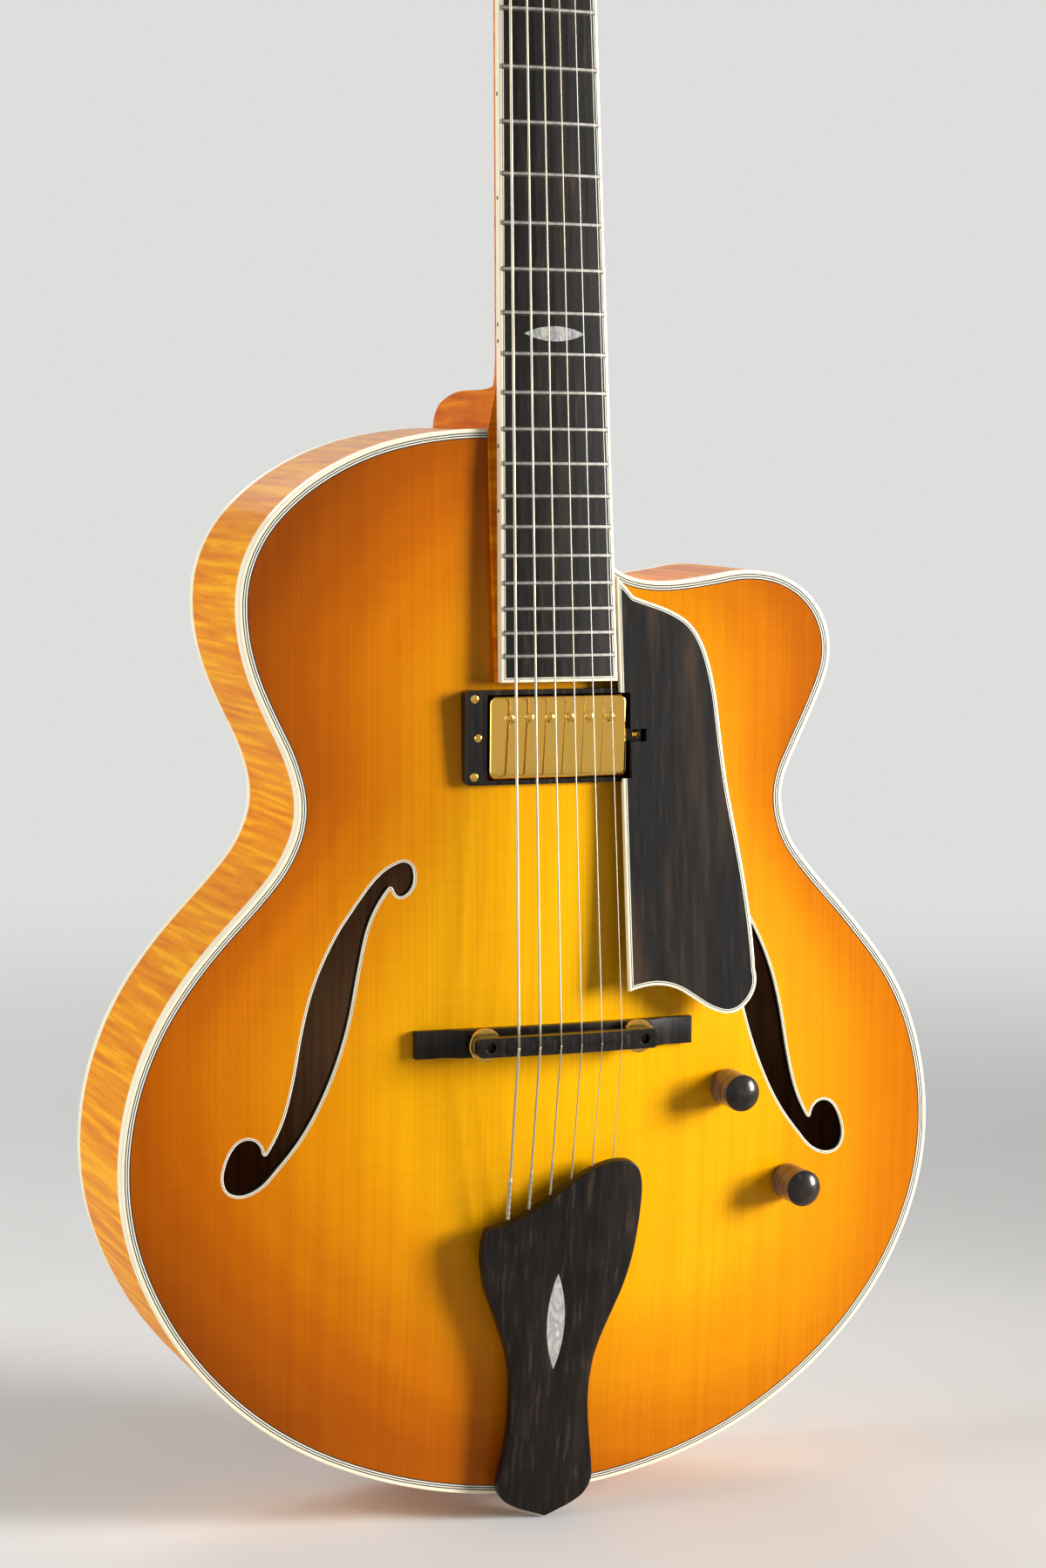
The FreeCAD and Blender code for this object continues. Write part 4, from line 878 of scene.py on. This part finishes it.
def turned(work, place, axis, profile, sides=32, ripple=0.0, closed=False):
    """Spins a profile about an axis; a ripple sinks every other corner of the widest rings."""
    axis = Vector(axis).normalized()
    across = axis.orthogonal().normalized()
    widest = max(radius for radius, height in profile)
    rings = []
    for radius, height in profile:
        sunk = radius - (ripple if radius > 0.9 * widest else 0)
        radii = [sunk if side % 2 else radius for side in range(sides)]
        rings.append(circle(work, place + axis * height, axis, across, radii))
    bridged(work, rings, closed)
    bmesh.ops.remove_doubles(work, verts=work.verts, dist=0.0005 * MM)
    outward(work)
    return work


for side in ("bass", "treble"):
    low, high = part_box(f"thumbwheel_{side}")
    profile = scaled(thumb_profile, (high.x - low.x) / thumb_width)
    wheel = turned(bmesh.new(), on_axis(low, high, high.y), out, profile, 2 * knurls, knurl_depth, True)
    shade(wheel, 0.5)
    as_piece(f"knurled_wheel_{side}", wheel, [gold], f"wheel_{side}", "gold", f"thumbwheel_{side}")
print("two wheels of", round((high.x - low.x) / MM, 1), "mm, knurled")

# %% [markdown]
# A screw head is turned, then slotted: two cuts across the head mark out a band, and the faces of
# that band are pushed down. A boolean could carve the slot too, but it leaves ragged faces on
# something this small. The heads of the six pole screws carry a plain slot, the ring screws a cross.

# %% Slotted screws
shank_share, slot_share, cross_share, sunk_share = 0.55, 0.16, 0.62, 0.6
dome_angles = (0.35, 0.7, 1.05, 1.35)


def screw(work, place, axis, radius, dome, shank, slots, turn):
    """Adds a domed and slotted screw: its dome starts at a place and its shank runs back from it."""
    head = bmesh.new()
    profile = [(0, -shank), (shank_share * radius, -shank), (shank_share * radius, 0), (radius, 0)]
    profile += [(radius * math.cos(angle), dome * math.sin(angle)) for angle in dome_angles]
    profile.append((0, dome))
    turned(head, Vector(), (0, 0, 1), profile, 28)
    for number in range(slots):
        cut = Vector((math.cos(number * math.pi / 2), math.sin(number * math.pi / 2), 0))
        for side in (-1, 1):
            everything = head.verts[:] + head.edges[:] + head.faces[:]
            side_wall = cut * side * slot_share * radius
            bmesh.ops.bisect_plane(head, geom=everything, plane_co=side_wall, plane_no=cut)
    reach = radius if slots == 1 else cross_share * radius
    slot = []
    for face in head.faces:
        middle = face.calc_center_median()
        along = min([abs(middle.x), abs(middle.y)][:slots])
        on_dome = face.normal.z > 0.2 and middle.z > 0
        if on_dome and along < slot_share * radius and middle.xy.length < reach:
            slot.append(face)
    grown = bmesh.ops.extrude_face_region(head, geom=slot)["geom"]
    sunk = [corner for corner in grown if isinstance(corner, bmesh.types.BMVert)]
    bmesh.ops.translate(head, verts=sunk, vec=(0, 0, -sunk_share * dome))
    bmesh.ops.delete(head, geom=[face for face in slot if face.is_valid], context="FACES_ONLY")
    lean = Vector((0, 0, 1)).rotation_difference(Vector(axis)).to_matrix().to_4x4()
    moved = Matrix.Translation(place) @ lean @ Matrix.Rotation(turn, 4, "Z")
    bmesh.ops.transform(head, matrix=moved, verts=head.verts)
    shade(head)
    mesh = bpy.data.meshes.new("screw_head")
    head.to_mesh(mesh)
    head.free()
    work.from_mesh(mesh)
    bpy.data.meshes.remove(mesh)


def loose_pieces(node):
    """The separate solids of a node, each as a list of corner places."""
    work = welded(node)
    found, done = [], set()
    for start in work.verts:
        group, waiting = [], [start]
        while waiting:
            corner = waiting.pop()
            if corner.index not in done:
                done.add(corner.index)
                group.append(corner.co.copy())
                waiting += [edge.other_vert(corner) for edge in corner.link_edges]
        if group:
            found.append(group)
    work.free()
    return found


height_dome = 1.4 * MM
poles = bmesh.new()
for number, group in enumerate(sorted(loose_pieces("pole_screws"), key=lambda group: group[0].x)):
    low, high = (Vector([pick(axis) for axis in zip(*group)]) for pick in (min, max))
    base = on_axis(low, high, high.y)
    screw(poles, base, out, (high.x - low.x) / 2, high.y - low.y, 0.2 * MM, 1, 0.5 + 1.1 * number)
as_piece("slotted_pole_screws", poles, [gold], "pickup", "gold", "pole_screws")
for side in ("bass", "treble"):
    low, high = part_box(f"height_screw_{side}")
    head = on_axis(low, high, low.y + height_dome)
    work = bmesh.new()
    screw(work, head, out, (high.x - low.x) / 2, height_dome, high.y - head.y, 1, 0.9)
    as_piece(f"slotted_height_screw_{side}", work, [gold], f"screw_{side}", "gold",
             f"height_screw_{side}")
print("six pole screws and two height screws slotted")

# %% [markdown]
# Four small screws hold the pickup ring to the top, one near each corner. They only need a head,
# which sits on the sloping face of the ring: a ray from the front finds that face and its lean.
# Nobody lines up such screws, so the turn of each comes from its place.

# %% Ring screws
inset_x, inset_z = 4.6 * MM, 3.9 * MM
head_radius, head_dome, head_shank = 2.0 * MM, 0.5 * MM, 0.6 * MM
low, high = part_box("pickup_ring")
ring_skin = skin_of("pickup_ring")
ring_screws = bmesh.new()
for x in (low.x + inset_x, high.x - inset_x):
    for z in (low.z + inset_z, high.z - inset_z):
        face, lean = ring_skin.ray_cast(Vector((x, -ray_start, z)), -out)[:2]
        screw(ring_screws, face, lean, head_radius, head_dome, head_shank, 2, 0.6 + 40 * x + 30 * z)
as_piece("ring_screws", ring_screws, [gold], "guitar", "gold")
print("four ring screws in a ring of", [round(x / MM, 1) for x in high - low], "mm")

# %% [markdown]
# ## Dots for the player
# Along the edge of the board that the player sees, small dark dots mark the usual frets. They are
# plugs let into the binding, so here they are shallow discs that stand a hair proud.

# %% Side dots
dot_spots = ((3, 0.5), (5, 0.5), (7, 0.5), (9, 0.5), (12, 0.3), (12, 0.7), (15, 0.5), (17, 0.5))
dot_profile = scaled([(0, -0.4), (1.0, -0.4), (1.0, 0.03), (0, 0.03)])
board_taper, within_edge, below_face = 0.24, 1.2 * MM, 3.0 * MM
fret_heights = [sum(place.z for place in group) / len(group) for group in loose_pieces("frets")]
fret_heights.sort(reverse=True)
edge_skin = skin_of("fingerboard_binding")
edge_low, edge_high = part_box("fingerboard_binding")
dots = bmesh.new()
for number, share in dot_spots:
    z = fret_heights[number - 1] + share * (fret_heights[number - 2] - fret_heights[number - 1])
    rise = (z - edge_low.z) / (edge_high.z - edge_low.z)
    edge_x = edge_low.x * (1 - board_taper * rise)
    front = edge_skin.ray_cast(Vector((edge_x + within_edge, -ray_start, z)), -out)[0]
    start = Vector((-ray_start, front.y + below_face, z))
    place, way = edge_skin.ray_cast(start, Vector((1, 0, 0)))[:2]
    turned(dots, place, way, dot_profile, 20)
shade(dots)
as_piece("side_dots", dots, [plastic], "guitar", "black_plastic")
print(len(dot_spots), "side dots beside", len(fret_heights), "frets")

# %% [markdown]
# ## Tuners
# Where a post comes through the headstock a gold ring lines its hole, and below the string's first
# turn the string is wound down round the post. The windings ride with the post, so they turn with
# it. The posts lean with the headstock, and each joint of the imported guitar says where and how.

# %% Rings round the posts
post_radius, beside_post, clear_of_all = 3 * MM, 4.5 * MM, 50 * MM
ring_profile = scaled([(3.15, 0), (5.1, 0), (5.1, 0.7), (4.5, 1.2), (3.15, 1.2)])
veneer_skin = skin_of("headstock_veneer")
post_rings = bmesh.new()
posts = []
for number in string_numbers:
    joint = joints[f"post_{number}_turn"]
    foot, axis = Vector(joint["pos_m"]), Vector(joint["axis"]).normalized()
    beside = foot + axis.orthogonal().normalized() * beside_post
    face = veneer_skin.ray_cast(beside + axis * clear_of_all, -axis)[0]
    level = (face - foot).dot(axis)
    posts.append((foot, axis, level))
    turned(post_rings, foot + axis * level, axis, ring_profile, 36, 0, True)
shade(post_rings, 0.5)
as_piece("post_rings", post_rings, [gold], "guitar", "gold")
print("six rings,", round(posts[0][2] / MM, 2), "mm in front of the joint")

# %% [markdown]
# ## Strings
# Six strings run from the posts over the nut and saddle to the tailpiece. They bend a little when the
# saddle rises, so each is drawn in two lengths that meet on the saddle and blend between the body
# and the saddle. The bends are read from the solids: each string has rings of corners only where it
# turns, so gaps in height separate them. Wound strings get their wrap as a fine bump.

# %% Read where each string runs
ring_gap = 5 * MM


def turning_points(corners):
    """Middles of the rings where a string ends or bends, from the post down to the tailpiece."""
    corners = sorted(corners, key=lambda place: -place.z)
    rings = [[corners[0]]]
    for place in corners[1:]:
        if rings[-1][-1].z - place.z > ring_gap:
            rings.append([])
        rings[-1].append(place)
    middles = [sum(ring, Vector()) / len(ring) for ring in rings]
    reach = max((place - middles[-1]).length for place in rings[-1])
    return middles, reach


strings = [turning_points(group) for name in ("wound_strings", "plain_strings")
           for group in loose_pieces(name)]
strings.sort(key=lambda found: found[0][2].x)
for middles, reach in strings:
    print("string of", round(2 * reach / MM, 2), "mm through", len(middles), "places")

# %% [markdown]
# A tube is a ring of corners carried along a path. The rings here may differ in radius, which also
# makes the thick wrapped end that every string has where it enters the tailpiece.

# %% Draw the strings
def tube(work, path, radii, sides=12):
    """Carries a ring of corners along a path and closes both ends."""
    rings = []
    for step, (place, radius) in enumerate(zip(path, radii)):
        before, after = path[max(step - 1, 0)], path[min(step + 1, len(path) - 1)]
        along = (after - before).normalized()
        aside = Vector((0, 1, 0)) if abs(along.y) < 0.9 else Vector((1, 0, 0))
        across = along.cross(aside).normalized()
        rings.append(circle(work, place, along, across, [radius] * sides))
    for face in bridged(work, rings):
        face.smooth = True
    work.faces.new(rings[0])
    work.faces.new(list(reversed(rings[-1])))


def split_run(start, end, count):
    return [start.lerp(end, step / count) for step in range(count + 1)]


wound_count, wrap_pitch = 4, 0.3 * MM
wrap = metal("wound_wire", tone(172, 164, 144), 0.4)
turns = wrap.math("SINE", wrap.math("MULTIPLY", wrap.axes()[2], 2 * math.pi / wrap_pitch))
wrap.bump(turns, 0.15, 0.05 * MM)
plain_wire = metal("plain_wire", tone(180, 176, 166), 0.38)
head_steps, long_steps, tail_steps, twisted_steps = 12, 60, 90, 22


def string_half(name, chosen, recipe, upper):
    """One length of several strings, from the nut side or from the tailpiece side, to the saddle."""
    work = bmesh.new()
    for middles, reach in chosen:
        post, bend, saddle, tail = middles
        if upper:
            path = split_run(post, bend, head_steps) + split_run(bend, saddle, long_steps)[1:]
            radii = [reach] * len(path)
        else:
            path = split_run(tail, saddle, tail_steps)
            radii = [reach * (1.5 + 0.18 * math.cos(1.9 * step)) for step in range(twisted_steps)]
            radii += [reach] * (len(path) - twisted_steps)
        tube(work, path, radii)
    outward(work)
    piece = as_object(name, work, [recipe])
    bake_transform(piece)
    return piece


kinds = (("wound", strings[:wound_count], wrap), ("plain", strings[wound_count:], plain_wire))
for kind, chosen, wire in kinds:
    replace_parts(string_half(f"{kind}_string_lengths", chosen, wire, True), f"{kind}_strings")
for kind, chosen, wire in kinds:
    string_half(f"{kind}_string_tails", chosen, wire, False)
print("strings drawn in 4 pieces")

# %% [markdown]
# Each string ends in a few close turns round its post. A helix is a circle that sinks a string's
# width at every turn, and the same tube follows it.

# %% Wind the strings on their posts
windings, steps_per_turn, above_ring = 4, 24, 1.6 * MM
for number, ((middles, reach), (foot, axis, level)) in enumerate(zip(strings, posts), 1):
    arrival = middles[0] - foot
    height = arrival.dot(axis)
    spoke = (arrival - axis * height).normalized()
    other = axis.cross(spoke)
    sink = min(2.1 * reach, (height - level - above_ring) / windings)
    path = []
    for step in range(steps_per_turn * windings + 1):
        angle = 2 * math.pi * step / steps_per_turn
        place = foot + axis * (height - sink * step / steps_per_turn)
        path.append(place + (post_radius + reach) * (math.cos(angle) * spoke + math.sin(angle) * other))
    winding = bmesh.new()
    tube(winding, path, [reach] * len(path), 8)
    outward(winding)
    wire = wrap if number <= wound_count else plain_wire
    as_piece(f"string_turns_{number}", winding, [wire], f"post_{number}", "string_wire")
    print("string", number, "wound down", round(windings * sink / MM, 2), "mm")

# %% [markdown]
# ## Knob screws
# A wooden knob is held on its shaft by a small screw from the side. On one knob it points up where
# the camera sees it, on the other it points away.

# %% Set screws in the knobs
grub_depth = 14.5 * MM
grub_profile = scaled([(0, -0.3), (1.1, -0.3), (1.1, 0.04), (0.8, 0.04), (0.6, -0.02), (0, -0.02)])
for name, way in (("tone", Vector((-0.30, 0, 0.95))), ("volume", Vector((0.75, 0, -0.66)))):
    way.normalize()
    low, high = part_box(f"{name}_knob")
    middle = on_axis(low, high, low.y + grub_depth)
    place = skin_of(f"{name}_knob").ray_cast(middle + way * clear_of_all, -way)[0]
    grub = turned(bmesh.new(), place, way, grub_profile, 6)
    as_piece(f"{name}_set_screw", grub, [plastic], name, "black_plastic")
print("two set screws")

# %% [markdown]
# ## Finish

# %% Finish
bpy.context.view_layer.update()
